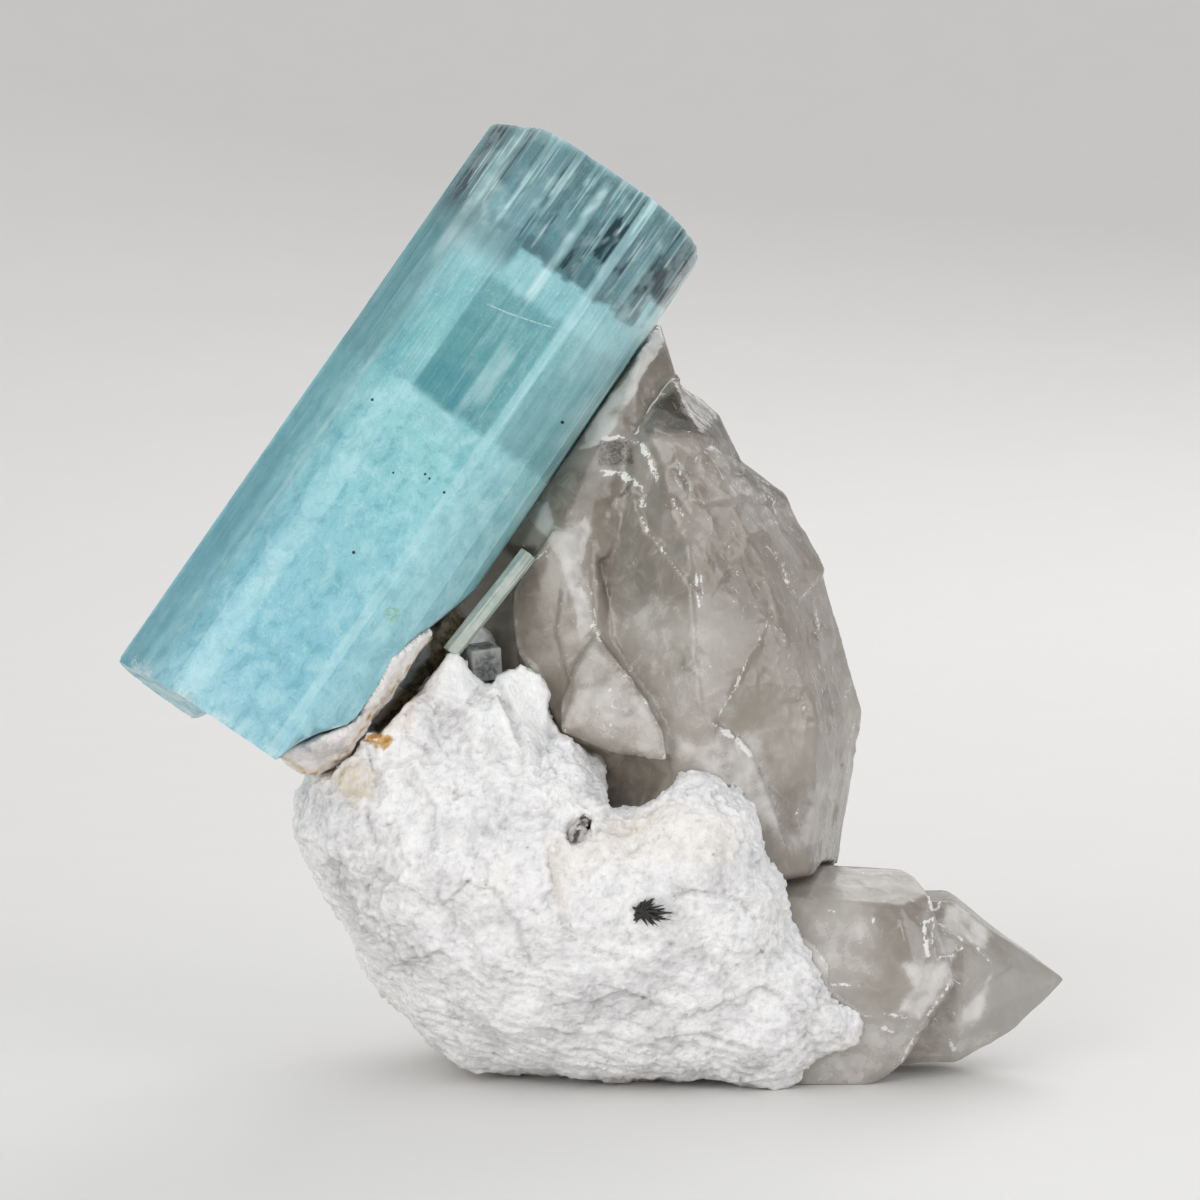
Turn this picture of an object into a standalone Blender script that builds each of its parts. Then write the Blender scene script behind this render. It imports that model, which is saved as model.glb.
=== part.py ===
"""Aquamarine specimen: a beryl prism and smoky quartz crystals on a lump of white albite.

Places and sizes are in millimetres here and are scaled to metres when a mesh is made.
+Z is up, +X is to the right of the show side, and the show side faces -Y.
"""
import math
import random

import bmesh
import bpy
from mathutils import Matrix, Vector
from mathutils.bvhtree import BVHTree

MM = 0.001
OBJECT_NAME = "aquamarine_specimen"

# The whole thing is moved by this much, so that its box is centred on the origin.
CENTRING = Vector((-1.0, -2.2, 0.0))

# Clearance that pieces keep from each other where they touch.
CONTACT_GAP = 0.3

# Aquamarine prism: foot of its axis, length, and its three turning angles.
BERYL_FOOT = Vector((-44.9, -14.0, 43.7))
BERYL_LENGTH = 82.5
BERYL_LEAN = math.radians(36.5)
BERYL_HEADING = math.radians(22.4)
BERYL_SPIN = math.radians(-17.2)
# Half of the six-sided section, from the left edge over the front to the right edge.
BERYL_HALF_SECTION = [
    (-15.6, 0.0), (-10.3, -10.9), (-8.5, -12.6), (-4.9, -13.5), (5.9, -13.9), (7.1, -13.8),
    (9.5, -12.6), (11.9, -10.7), (14.3, -7.2), (15.3, -3.1),
]
BERYL_HALF_DEPTH = 13.9
STRIA_SPACING = 1.1
STRIA_DEPTH = 0.16
# How far a ridge may wander, as a share of the spacing, and how much of the depth it has.
STRIA_WANDER = (-0.25, 0.25)
STRIA_DEPTH_SHARE = (0.2, 1.0)
STRIA_SEED = 7
# The lower right edge is broken away outside this line, given across and along the prism.
BERYL_BREAK = [
    (15.9, 33.0), (11.5, 18.5), (12.0, 14.5), (12.0, 9.0), (9.0, 5.2), (7.4, 2.2), (6.6, -3.0),
    (24.0, -3.0), (24.0, 33.0),
]
BERYL_BREAK_HALF_DEPTH = 20.0
# The broken foot rises from its front rim to its back rim, more so right of this split.
FOOT_SPLIT = -3.4
FOOT_RISE_LEFT = 0.9
FOOT_RISE_RIGHT = 3.0
FOOT_ROUGHNESS = 0.7
FOOT_RING_SHARES = (0.85, 0.6)
FOOT_SEED = 3

# Upright smoky quartz: crystal blocks grown together, each the hull of its own corners.
QUARTZ_BLOCKS = {
    "blade": [
        (8.7, 8.0, 94.0), (9.3, 4.0, 91.7), (10.9, 2.0, 86.8), (5.6, -4.0, 80.0),
        (3.3, -3.0, 81.9), (6.1, -0.5, 91.1), (8.5, 15.0, 92.0), (-3.0, 15.0, 86.0),
        (10.5, 20.0, 84.0), (-2.0, 18.0, 76.0),
    ],
    "shoulder": [
        (10.0, 0.0, 86.8), (13.8, 4.0, 84.5), (16.3, 5.0, 82.3), (17.2, 5.0, 79.1),
        (18.6, 4.0, 76.5), (13.3, -8.0, 79.9), (7.5, -7.0, 80.3), (5.6, -4.5, 80.0),
        (10.0, 20.0, 84.0), (17.0, 20.0, 78.0), (2.0, 18.0, 84.0), (8.0, 6.0, 68.0),
    ],
    "body": [
        (7.5, -7.4, 80.0), (13.3, -8.5, 79.7), (12.0, -13.0, 65.0), (13.3, -15.5, 48.0),
        (18.3, -15.0, 26.0), (21.2, -8.0, 65.0), (24.3, -9.0, 55.0), (28.0, -8.0, 45.0),
        (27.0, -9.0, 26.0), (18.6, 6.0, 76.5), (22.0, 8.0, 74.0), (24.6, 8.0, 72.2),
        (26.5, 8.0, 68.3), (28.8, 8.0, 64.3), (31.9, 8.0, 52.4), (34.6, 9.0, 44.5),
        (31.2, 9.0, 22.0), (0.5, -4.0, 67.0), (-0.1, -6.0, 54.6), (2.0, -8.0, 40.0),
        (2.0, -8.0, 20.0), (14.0, 20.0, 80.0), (20.0, 25.0, 68.0), (26.0, 25.0, 50.0),
        (27.0, 22.0, 20.0), (-7.0, 24.0, 62.0), (-10.0, 24.0, 40.0), (-6.0, 22.0, 20.0),
        (-13.0, 7.0, 60.0), (-16.0, 6.0, 50.0), (-16.0, 6.0, 42.0), (-8.0, 5.0, 68.0),
        (-4.0, 12.0, 76.0),
    ],
    "left lobe": [
        (-4.7, -7.0, 68.6), (0.4, -7.0, 67.4), (-6.7, -7.0, 64.4), (-9.4, -6.0, 61.6),
        (-9.9, -6.0, 59.1), (-9.1, -6.0, 53.5), (-6.9, -7.0, 51.3), (-4.7, -8.0, 47.0),
        (-3.2, -9.0, 43.0), (4.8, -9.0, 40.0), (-0.1, -9.5, 56.0), (-4.0, 8.0, 68.0),
        (-9.0, 8.0, 60.0), (-8.0, 8.0, 46.0), (4.0, 8.0, 40.0),
    ],
    "front plate": [
        (0.8, -10.0, 55.7), (4.2, -13.3, 51.0), (6.9, -14.8, 48.0), (8.8, -15.6, 44.3),
        (9.4, -15.8, 40.6), (-2.2, -10.0, 51.6), (-3.8, -11.0, 47.4), (-3.5, -12.0, 43.9),
        (2.8, -13.6, 41.4), (5.6, -14.4, 42.2), (0.8, -2.0, 56.0), (9.0, -4.0, 45.0),
        (-3.0, -2.0, 47.0), (3.0, -4.0, 43.5),
    ],
    "upper strip": [
        (-4.4, -6.2, 66.9), (1.1, -4.2, 79.4), (5.2, -5.5, 76.0), (-1.0, -6.6, 68.5),
        (4.2, -3.6, 84.0), (-8.6, -4.2, 66.2), (-5.0, -3.4, 73.4), (0.6, -2.4, 82.6),
        (6.0, -1.4, 89.6), (-11.5, 2.0, 66.5), (-7.0, 3.0, 75.0), (-1.5, 4.0, 83.0),
        (4.0, 6.0, 89.6), (-7.0, 10.0, 66.0), (4.0, 12.0, 86.0), (6.0, 12.0, 74.0),
        (2.0, -7.0, 65.0), (-8.0, 6.0, 62.0),
    ],
    "flank": [
        (-22.0, 3.5, 45.0), (-23.0, 2.6, 53.0), (-19.0, 1.8, 61.0), (-11.5, 1.6, 69.0),
        (-4.0, 0.5, 62.0), (-5.0, 0.5, 46.0), (-19.5, 14.0, 45.0), (-19.0, 14.0, 52.0),
        (-11.0, 14.0, 68.0), (-4.0, 14.0, 60.0), (-5.0, 14.0, 45.0),
    ],
}

# Lying quartz crystal with the point: a front crystal and the pointed one behind it.
POINT_BLOCKS = {
    "front crystal": [
        (15.0, -2.0, 26.0), (31.0, -2.0, 26.0), (38.8, -2.0, 25.7), (40.5, -4.0, 24.9),
        (41.7, -8.0, 23.3), (41.6, -12.0, 18.5), (44.7, -11.0, 12.7), (43.0, -11.5, 10.0),
        (41.0, -11.0, 7.7), (38.3, -9.5, 2.3), (36.5, -9.0, 0.7), (33.0, -10.0, -1.0),
        (20.0, -12.3, 24.0), (38.0, -12.3, 22.5), (20.0, -14.4, 12.0), (40.0, -14.4, 13.0),
        (23.0, -10.0, -1.0), (15.0, 11.0, 25.5), (38.0, 9.0, 24.0), (40.0, 12.0, 12.0),
        (36.0, 10.0, -1.0), (15.0, 12.0, -1.0),
    ],
    "pointed crystal": [
        (59.7, 1.0, 11.3), (45.3, -3.0, 21.7), (45.3, 7.0, 21.7), (45.0, -9.0, 16.0),
        (45.5, -9.0, 7.0), (45.5, -4.0, 1.7), (45.5, 6.0, 1.7), (50.5, 1.0, 3.0),
        (53.4, 1.0, 5.0), (45.0, 12.5, 16.0), (45.0, 12.5, 6.0), (16.0, -3.0, 22.4),
        (16.0, 7.0, 22.4), (16.0, -9.0, 12.0), (16.0, -4.0, 0.4), (16.0, 6.0, 0.4),
        (16.0, 12.5, 12.0),
    ],
}

# Albite lump: its left, right, front and back limits at each height.
LUMP_LEVELS = [
    (-4.0, -13.0, 19.0, -7.0, 19.0),
    (0.0, -14.0, 24.0, -12.0, 23.0),
    (3.0, -19.5, 27.5, -16.5, 26.0),
    (9.5, -25.5, 29.0, -22.0, 29.5),
    (16.4, -29.5, 26.5, -25.5, 31.0),
    (23.0, -33.3, 25.0, -27.0, 31.0),
    (29.6, -36.9, 21.0, -26.5, 28.0),
    (34.6, -36.7, 12.0, -24.0, 25.0),
    (38.5, -34.8, 5.0, -21.5, 21.0),
    (43.0, -30.0, -3.0, -18.0, 16.0),
    (48.0, -24.0, -6.0, -14.0, 12.0),
    (53.0, -18.0, -10.0, -10.0, 8.0),
]
LUMP_SQUARENESS = 0.74
LUMP_SEGMENTS = 40
LUMP_RINGS = 28
# Rings reach their full width when they are this many times wider than the poles.
LUMP_POLE_GAIN = 3.0
# Rounded knobs on it: centre and half sizes.
LUMP_KNOBS = [
    ((-9.0, -8.5, 42.5), (5.0, 6.0, 8.0)),
    ((-3.7, -12.0, 38.4), (2.7, 5.0, 5.4)),
    ((12.2, -15.0, 30.0), (8.9, 10.5, 10.2)),
    ((15.5, -14.0, 22.5), (9.2, 10.0, 9.0)),
    ((8.5, -18.0, 31.0), (6.0, 6.5, 5.6)),
    ((-27.5, -13.0, 33.0), (7.6, 10.0, 8.0)),
    ((-24.0, -11.0, 44.0), (8.0, 9.5, 7.0)),
    ((-28.6, -12.5, 39.5), (5.6, 9.0, 5.2)),
    ((-22.0, -10.5, 45.8), (4.2, 6.6, 4.8)),
    ((27.0, -12.6, 8.0), (7.2, 4.2, 4.2)),
    ((20.5, -11.0, 10.5), (9.0, 8.5, 11.0)),
    ((-17.5, -1.0, 50.0), (6.5, 6.5, 8.5)),
    ((-16.0, 19.0, 34.0), (11.0, 9.0, 10.0)),
    ((12.0, 24.0, 22.0), (13.0, 8.0, 14.0)),
]
# Angular cleavage pieces of feldspar on its upper left, each the hull of its own corners.
CLEAVAGE_PIECES = {
    "bright block": [
        (-18.0, -14.0, 54.4), (-16.0, -14.0, 53.8), (-13.2, -13.0, 49.8), (-15.0, -16.8, 46.4),
        (-18.0, -17.4, 47.0), (-21.1, -14.5, 49.9), (-17.0, -4.0, 53.4), (-13.0, -4.0, 49.6),
        (-20.0, -4.0, 50.0), (-18.0, -8.0, 42.0),
    ],
    "tall plate": [
        (-13.2, -13.2, 48.6), (-10.9, -12.8, 51.3), (-8.6, -12.4, 52.0), (-6.2, -12.0, 51.2),
        (-5.0, -12.0, 49.0), (-4.8, -12.5, 44.5), (-5.8, -14.0, 39.5), (-11.0, -16.5, 38.0),
        (-14.0, -16.0, 43.0), (-12.0, -4.0, 50.0), (-6.0, -4.0, 49.0), (-5.5, -4.0, 42.0),
        (-14.0, -4.0, 44.0),
    ],
    "leaning plate": [
        (-13.5, -15.8, 48.4), (-11.2, -16.0, 48.8), (-9.8, -17.0, 46.5), (-8.7, -17.8, 43.0),
        (-7.9, -19.0, 40.6), (-10.5, -20.6, 37.5), (-15.5, -19.5, 41.0), (-15.8, -17.6, 45.8),
        (-14.0, -8.0, 47.0), (-9.0, -8.0, 44.0), (-12.0, -8.0, 38.0),
    ],
}
LUMP_VOXEL = 1.1
LUMP_TRIANGLE_SHARE = 0.2
COARSE_ROUGHNESS = (9.0, 1.4)
FINE_ROUGHNESS = (3.2, 0.5)
# Open vugs between the knobs, each narrowing from its mouth to its back.
VUG_BLOCKS = {
    "upper": [
        (1.5, -34.0, 37.9), (0.8, -34.0, 40.0), (2.2, -34.0, 42.4), (3.7, -34.0, 44.8),
        (6.1, -34.0, 45.0), (10.0, -34.0, 42.0), (8.4, -34.0, 39.8), (6.8, -34.0, 38.4),
        (1.8, -8.0, 33.4), (2.0, -8.0, 41.6), (6.6, -8.0, 43.4), (12.8, -9.0, 42.0),
        (10.8, -9.0, 36.8), (6.6, -8.0, 33.6),
    ],
    "lower": [
        (-4.3, -34.0, 34.3), (-3.4, -34.0, 36.1), (-0.9, -34.0, 37.1), (0.9, -34.0, 37.7),
        (0.5, -34.0, 35.9), (0.3, -34.0, 33.4), (-1.4, -34.0, 32.8), (-3.4, -34.0, 33.2),
        (-2.9, -13.5, 30.8), (-1.6, -13.5, 33.6), (-0.2, -13.5, 33.6), (-0.6, -13.5, 30.4),
        (-2.2, -13.5, 29.8),
    ],
}
# Dark slot between the lump's upper edge and the aquamarine.
SLOT_OUTLINE = [
    (-18.4, 58.5), (-17.9, 54.9), (-20.1, 51.7), (-22.3, 49.2), (-26.0, 45.8), (-28.9, 43.3),
    (-33.0, 47.0), (-24.0, 58.0),
]
SLOT_FRONT = -34.0
SLOT_BACK = -9.0

# Albite crust on the broken edge of the aquamarine.
CRUST_BLOCKS = [
    [
        (-19.0, -17.0, 57.2), (-21.7, -19.5, 55.8), (-25.0, -21.0, 53.0), (-27.6, -22.0, 47.0),
        (-28.2, -19.5, 43.4), (-25.7, -18.5, 48.3), (-22.9, -17.5, 51.9), (-19.2, -14.8, 55.8),
        (-19.6, -9.0, 55.6), (-28.0, -9.0, 44.6), (-25.6, -9.0, 52.0),
    ],
    [
        (-27.6, -22.5, 46.0), (-29.6, -23.5, 44.6), (-33.2, -24.0, 43.6), (-37.0, -22.5, 42.3),
        (-36.6, -20.5, 41.0), (-35.0, -19.5, 39.6), (-33.2, -18.5, 39.0), (-29.6, -18.0, 40.9),
        (-28.2, -18.5, 43.6), (-30.0, -9.0, 42.0), (-35.0, -11.0, 41.0), (-33.0, -9.0, 45.0),
    ],
]
CRUST_VOXEL = 0.7
CRUST_TRIANGLE_SHARE = 0.16
CRUST_COARSE_ROUGHNESS = (4.0, 0.35)
CRUST_FINE_ROUGHNESS = (1.8, 0.2)
# Its rough skin stays inside its blocks when they are grown by this much.
CRUST_ROOM = 0.7

# Thin second beryl prism, from its foot to its tip, and its radius.
SMALL_BERYL_FOOT = Vector((-17.2, -11.3, 53.6))
SMALL_BERYL_TIP = Vector((-7.6, -8.9, 65.6))
SMALL_BERYL_RADIUS = 1.15

# Small cube: its middle, its edge and its turning angles.
CUBE_CENTRE = Vector((-13.5, -9.0, 52.3))
CUBE_EDGE = 4.0
CUBE_BEVEL = 0.15
CUBE_TURN = (math.radians(8.0), math.radians(-6.0), math.radians(24.0))

# Everything under the base plane is cut away: the middle and size of that cut.
UNDERSIDE_CENTRE = (10.0, 0.0, -10.0)
UNDERSIDE_SIZE = (160.0, 140.0, 20.0)

# Spray of black needles: where it sits across and up, and each needle's angle and length.
SPRAY_PLACE = (7.0, 23.1)
SPRAY_NEEDLES = [
    (-12, 3.0), (8, 3.3), (26, 3.0), (44, 2.8), (62, 2.5), (82, 1.9), (-32, 2.3), (-56, 1.6),
    (172, 2.5), (150, 1.7), (205, 1.6),
]
NEEDLE_RADIUS = 0.32
NEEDLE_TIP_RADIUS = 0.12
NEEDLE_SIDES = 5
NEEDLE_TOWARDS_FRONT = 0.08
HEART_HALF_SIZES = (0.75, 0.42, 0.75)
# It lies on a small flat facet, with this outline about its heart and this depth.
SPRAY_FACET = [
    (-4.2, 0.4), (-2.6, -2.6), (0.8, -3.4), (3.6, -2.8),
    (4.8, 0.2), (3.8, 3.4), (0.2, 4.0), (-2.8, 2.8),
]
SPRAY_FACET_DEPTH = 0.12
SPRAY_FACET_REACH = 12.0
SPRAY_CLEARANCE = 0.1

# A place well in front of everything, and the sharpest corner that is grown in full.
IN_FRONT = -60.0
SHARPEST_CORNER = 2.0


def clear_scene():
    for obj in list(bpy.data.objects):
        bpy.data.objects.remove(obj, do_unlink=True)


def new_collection(name, for_cutters):
    group = bpy.data.collections.new(name)
    bpy.context.scene.collection.children.link(group)
    group.hide_render = for_cutters
    return group


def new_material(name, colour, roughness, transmission=0.0, ior=1.5):
    material = bpy.data.materials.new(name)
    material.use_nodes = True
    shader = material.node_tree.nodes["Principled BSDF"]
    shader.inputs["Base Color"].default_value = (*colour, 1.0)
    shader.inputs["Roughness"].default_value = roughness
    shader.inputs["Metallic"].default_value = 0.0
    shader.inputs["Transmission Weight"].default_value = transmission
    shader.inputs["IOR"].default_value = ior
    return material


def add_object(name, bm, group, material=None):
    """Scale a bmesh in millimetres to metres, and make an object of it."""
    bmesh.ops.translate(bm, verts=bm.verts, vec=CENTRING)
    bmesh.ops.scale(bm, verts=bm.verts, vec=(MM, MM, MM))
    bmesh.ops.recalc_face_normals(bm, faces=bm.faces)
    mesh = bpy.data.meshes.new(name)
    bm.to_mesh(mesh)
    bm.free()
    obj = bpy.data.objects.new(name, mesh)
    group.objects.link(obj)
    if material:
        mesh.materials.append(material)
    return obj


def add_cutter(name, bm):
    obj = add_object(name, bm, cutters)
    obj.display_type = "WIRE"
    obj.hide_render = True
    return obj


def combine(obj, other, operation):
    modifier = obj.modifiers.new(f"{operation.lower()} {other.name}", "BOOLEAN")
    modifier.operation = operation
    modifier.solver = "EXACT"
    modifier.object = other


def evaluated_bmesh(obj):
    bpy.context.view_layer.update()
    depsgraph = bpy.context.evaluated_depsgraph_get()
    bm = bmesh.new()
    bm.from_object(obj, depsgraph)
    return bm


def push_out(bm, distance):
    bm.normal_update()
    pushes = {vert: vert.normal * min(vert.calc_shell_factor(), SHARPEST_CORNER) for vert in bm.verts}
    for vert, push in pushes.items():
        vert.co += push * distance


def hull_into(bm, corners):
    verts = [bm.verts.new(corner) for corner in corners]
    result = bmesh.ops.convex_hull(bm, input=verts)
    bmesh.ops.delete(bm, geom=result["geom_interior"], context="VERTS")
    return bm


def grown_hull(corners, distance):
    bm = hull_into(bmesh.new(), corners)
    bmesh.ops.recalc_face_normals(bm, faces=bm.faces)
    push_out(bm, distance)
    return bm


def rooms_for_blocks(name, blocks):
    """Each block of a crystal, pushed out on its own by the contact gap."""
    return [
        add_cutter(f"room for {name} {block}", grown_hull(corners, CONTACT_GAP))
        for block, corners in blocks.items()
    ]


def grown_cutter(obj):
    """A copy of an object's evaluated shape, pushed out by the contact gap."""
    bm = evaluated_bmesh(obj)
    bmesh.ops.scale(bm, verts=bm.verts, vec=(1 / MM, 1 / MM, 1 / MM))
    bmesh.ops.translate(bm, verts=bm.verts, vec=-CENTRING)
    push_out(bm, CONTACT_GAP)
    return add_cutter(f"room for {obj.name}", bm)


def ellipsoid_into(bm, centre, half_sizes, subdivisions=3):
    placing = Matrix.Translation(centre) @ Matrix.Diagonal((*half_sizes, 1.0))
    bmesh.ops.create_icosphere(bm, subdivisions=subdivisions, radius=1.0, matrix=placing)
    return bm


def plate_into(bm, outline, front, back):
    """A flat outline in the XZ plane, extruded from front to back."""
    face = bm.faces.new([bm.verts.new((x, front, z)) for x, z in outline])
    extruded = bmesh.ops.extrude_face_region(bm, geom=[face])
    moved = [item for item in extruded["geom"] if isinstance(item, bmesh.types.BMVert)]
    bmesh.ops.translate(bm, verts=moved, vec=(0.0, back - front, 0.0))
    return bm


def blocks_object(name, blocks, group, material):
    """Crystal blocks grown together: the first one, with the others joined to it."""
    names = list(blocks)
    obj = add_object(name, hull_into(bmesh.new(), blocks[names[0]]), group, material)
    for block in names[1:]:
        combine(obj, add_cutter(f"{name} {block}", hull_into(bmesh.new(), blocks[block])), "UNION")
    return obj


def beryl_placing():
    turning = (
        Matrix.Rotation(BERYL_HEADING, 4, "Z")
        @ Matrix.Rotation(BERYL_LEAN, 4, "Y")
        @ Matrix.Rotation(BERYL_SPIN, 4, "Z")
    )
    return Matrix.Translation(BERYL_FOOT) @ turning


def striated_section():
    """The six-sided section, its sides broken into shallow lengthwise ridges."""
    ridges = random.Random(STRIA_SEED)
    corners = [Vector(point) for point in BERYL_HALF_SECTION]
    corners += [-corner for corner in corners]
    section = []
    for start, end in zip(corners, corners[1:] + corners[:1]):
        section.append(start)
        inward = Vector((start.y - end.y, end.x - start.x)).normalized()
        steps = int((end - start).length / STRIA_SPACING)
        for step in range(1, steps):
            share = (step + ridges.uniform(*STRIA_WANDER)) / steps
            depth = STRIA_DEPTH * ridges.uniform(*STRIA_DEPTH_SHARE) * (step % 2)
            section.append(start.lerp(end, share) + inward * depth)
    return section


def aquamarine_crystal(group, material):
    bm = bmesh.new()
    foot = bm.faces.new([bm.verts.new((x, y, 0.0)) for x, y in striated_section()])
    top = bmesh.ops.extrude_face_region(bm, geom=[foot])
    raised = [item for item in top["geom"] if isinstance(item, bmesh.types.BMVert)]
    bmesh.ops.translate(bm, verts=raised, vec=(0.0, 0.0, BERYL_LENGTH))
    # The broken foot is ringed inwards, and its rings are left uneven.
    roughness = random.Random(FOOT_SEED)
    foot_face = min(bm.faces, key=lambda face: face.calc_center_median().z)
    for ring_share in FOOT_RING_SHARES:
        bmesh.ops.inset_region(bm, faces=[foot_face], thickness=0.0)
        bmesh.ops.scale(bm, verts=list(foot_face.verts), vec=(ring_share, ring_share, 1.0))
        for vert in list(foot_face.verts)[::3]:
            vert.co.z += roughness.uniform(0.0, FOOT_ROUGHNESS)
    for vert in [vert for vert in bm.verts if vert.co.z < BERYL_LENGTH / 2]:
        rise = FOOT_RISE_RIGHT if vert.co.x > FOOT_SPLIT else FOOT_RISE_LEFT
        vert.co.z += rise * (vert.co.y + BERYL_HALF_DEPTH) / (2 * BERYL_HALF_DEPTH)
    bmesh.ops.triangulate(bm, faces=[face for face in bm.faces if len(face.verts) > 4])
    bmesh.ops.transform(bm, matrix=beryl_placing(), verts=bm.verts)
    crystal = add_object("aquamarine_crystal", bm, group, material)

    breaking = plate_into(
        bmesh.new(), BERYL_BREAK, -BERYL_BREAK_HALF_DEPTH, BERYL_BREAK_HALF_DEPTH
    )
    bmesh.ops.transform(breaking, matrix=beryl_placing(), verts=breaking.verts)
    combine(crystal, add_cutter("broken edge", breaking), "DIFFERENCE")
    return crystal


def limits_at(height):
    for low, high in zip(LUMP_LEVELS, LUMP_LEVELS[1:]):
        if height <= high[0]:
            share = (height - low[0]) / (high[0] - low[0])
            return [a + (b - a) * share for a, b in zip(low[1:], high[1:])]
    return LUMP_LEVELS[-1][1:]


def lump_into(bm):
    """A sphere reshaped so that each of its rings reaches the lump's limits at that height."""
    ball = bmesh.ops.create_uvsphere(
        bm, u_segments=LUMP_SEGMENTS, v_segments=LUMP_RINGS, radius=1.0
    )
    lowest, highest = LUMP_LEVELS[0][0], LUMP_LEVELS[-1][0]
    for vert in ball["verts"]:
        share = 1.0 - math.acos(max(-1.0, min(1.0, vert.co.z))) / math.pi
        height = lowest + (highest - lowest) * share
        left, right, front, back = limits_at(height)
        angle = math.atan2(vert.co.y, vert.co.x)
        fullness = min(1.0, math.hypot(vert.co.x, vert.co.y) * LUMP_POLE_GAIN)
        across = math.copysign(abs(math.cos(angle)) ** LUMP_SQUARENESS, math.cos(angle))
        away = math.copysign(abs(math.sin(angle)) ** LUMP_SQUARENESS, math.sin(angle))
        vert.co.x = (left + right) / 2 + (right - left) / 2 * across * fullness
        vert.co.y = (front + back) / 2 + (back - front) / 2 * away * fullness
        vert.co.z = height
    return bm


def underside_cutter():
    placing = Matrix.Translation(UNDERSIDE_CENTRE) @ Matrix.Diagonal((*UNDERSIDE_SIZE, 1.0))
    bm = bmesh.new()
    bmesh.ops.create_cube(bm, size=1.0, matrix=placing)
    return add_cutter("underside", bm)


def roughen(obj, name, grain_and_depth):
    grain, depth = grain_and_depth
    texture = bpy.data.textures.new(name, "CLOUDS")
    texture.noise_scale = grain * MM
    texture.noise_depth = 2
    modifier = obj.modifiers.new(name, "DISPLACE")
    modifier.texture = texture
    modifier.texture_coords = "LOCAL"
    modifier.mid_level = 0.5
    modifier.strength = depth * 2 * MM


def weld_and_roughen(obj, voxel, coarse, fine, triangle_share):
    remesh = obj.modifiers.new("one skin", "REMESH")
    remesh.mode = "VOXEL"
    remesh.voxel_size = voxel * MM
    roughen(obj, f"{obj.name} coarse grain", coarse)
    roughen(obj, f"{obj.name} fine grain", fine)
    decimate = obj.modifiers.new("fewer faces", "DECIMATE")
    decimate.ratio = triangle_share


def albite_matrix(group, material):
    bm = lump_into(bmesh.new())
    for centre, half_sizes in LUMP_KNOBS:
        ellipsoid_into(bm, centre, half_sizes)
    lump = add_object("albite_matrix", bm, group, material)
    weld_and_roughen(lump, LUMP_VOXEL, COARSE_ROUGHNESS, FINE_ROUGHNESS, LUMP_TRIANGLE_SHARE)
    for piece, corners in CLEAVAGE_PIECES.items():
        combine(lump, add_cutter(f"cleavage {piece}", hull_into(bmesh.new(), corners)), "UNION")
    combine(lump, underside, "DIFFERENCE")
    for vug, corners in VUG_BLOCKS.items():
        combine(lump, add_cutter(f"{vug} vug", hull_into(bmesh.new(), corners)), "DIFFERENCE")
    slot = plate_into(bmesh.new(), SLOT_OUTLINE, SLOT_FRONT, SLOT_BACK)
    combine(lump, add_cutter("dark slot", slot), "DIFFERENCE")
    return lump


def albite_crust(group, material):
    bm = bmesh.new()
    for corners in CRUST_BLOCKS:
        hull_into(bm, corners)
    crust = add_object("albite_crust", bm, group, material)
    weld_and_roughen(
        crust, CRUST_VOXEL, CRUST_COARSE_ROUGHNESS, CRUST_FINE_ROUGHNESS, CRUST_TRIANGLE_SHARE
    )
    return crust


def small_aquamarine(group, material):
    axis = SMALL_BERYL_TIP - SMALL_BERYL_FOOT
    placing = (
        Matrix.Translation((SMALL_BERYL_FOOT + SMALL_BERYL_TIP) / 2)
        @ axis.to_track_quat("Z", "Y").to_matrix().to_4x4()
    )
    bm = bmesh.new()
    bmesh.ops.create_cone(
        bm, cap_ends=True, segments=6, radius1=SMALL_BERYL_RADIUS, radius2=SMALL_BERYL_RADIUS,
        depth=axis.length, matrix=placing,
    )
    return add_object("small_aquamarine", bm, group, material)


def small_cube(group, material):
    turn_x, turn_y, turn_z = CUBE_TURN
    placing = (
        Matrix.Translation(CUBE_CENTRE)
        @ Matrix.Rotation(turn_z, 4, "Z")
        @ Matrix.Rotation(turn_y, 4, "Y")
        @ Matrix.Rotation(turn_x, 4, "X")
    )
    bm = bmesh.new()
    bmesh.ops.create_cube(bm, size=CUBE_EDGE, matrix=placing)
    bmesh.ops.bevel(bm, geom=bm.edges[:], offset=CUBE_BEVEL, segments=1, affect="EDGES")
    return add_object("small_cube", bm, group, material)


def surface_in_front(obj, across, height):
    """Where a ray from the show side meets an object, in millimetres before centring."""
    bm = evaluated_bmesh(obj)
    tree = BVHTree.FromBMesh(bm)
    bm.free()
    origin = (Vector((across, IN_FRONT, height)) + CENTRING) * MM
    hit = tree.ray_cast(origin, Vector((0.0, 1.0, 0.0)))[0]
    return hit / MM - CENTRING


def needle_into(bm, root, angle, length):
    direction = Vector((math.cos(angle), -NEEDLE_TOWARDS_FRONT, math.sin(angle)))
    placing = (
        Matrix.Translation(root + direction * length / 2)
        @ direction.to_track_quat("Z", "Y").to_matrix().to_4x4()
    )
    bmesh.ops.create_cone(
        bm, cap_ends=True, segments=NEEDLE_SIDES, radius1=NEEDLE_RADIUS,
        radius2=NEEDLE_TIP_RADIUS, depth=length, matrix=placing,
    )
    return bm


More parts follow.
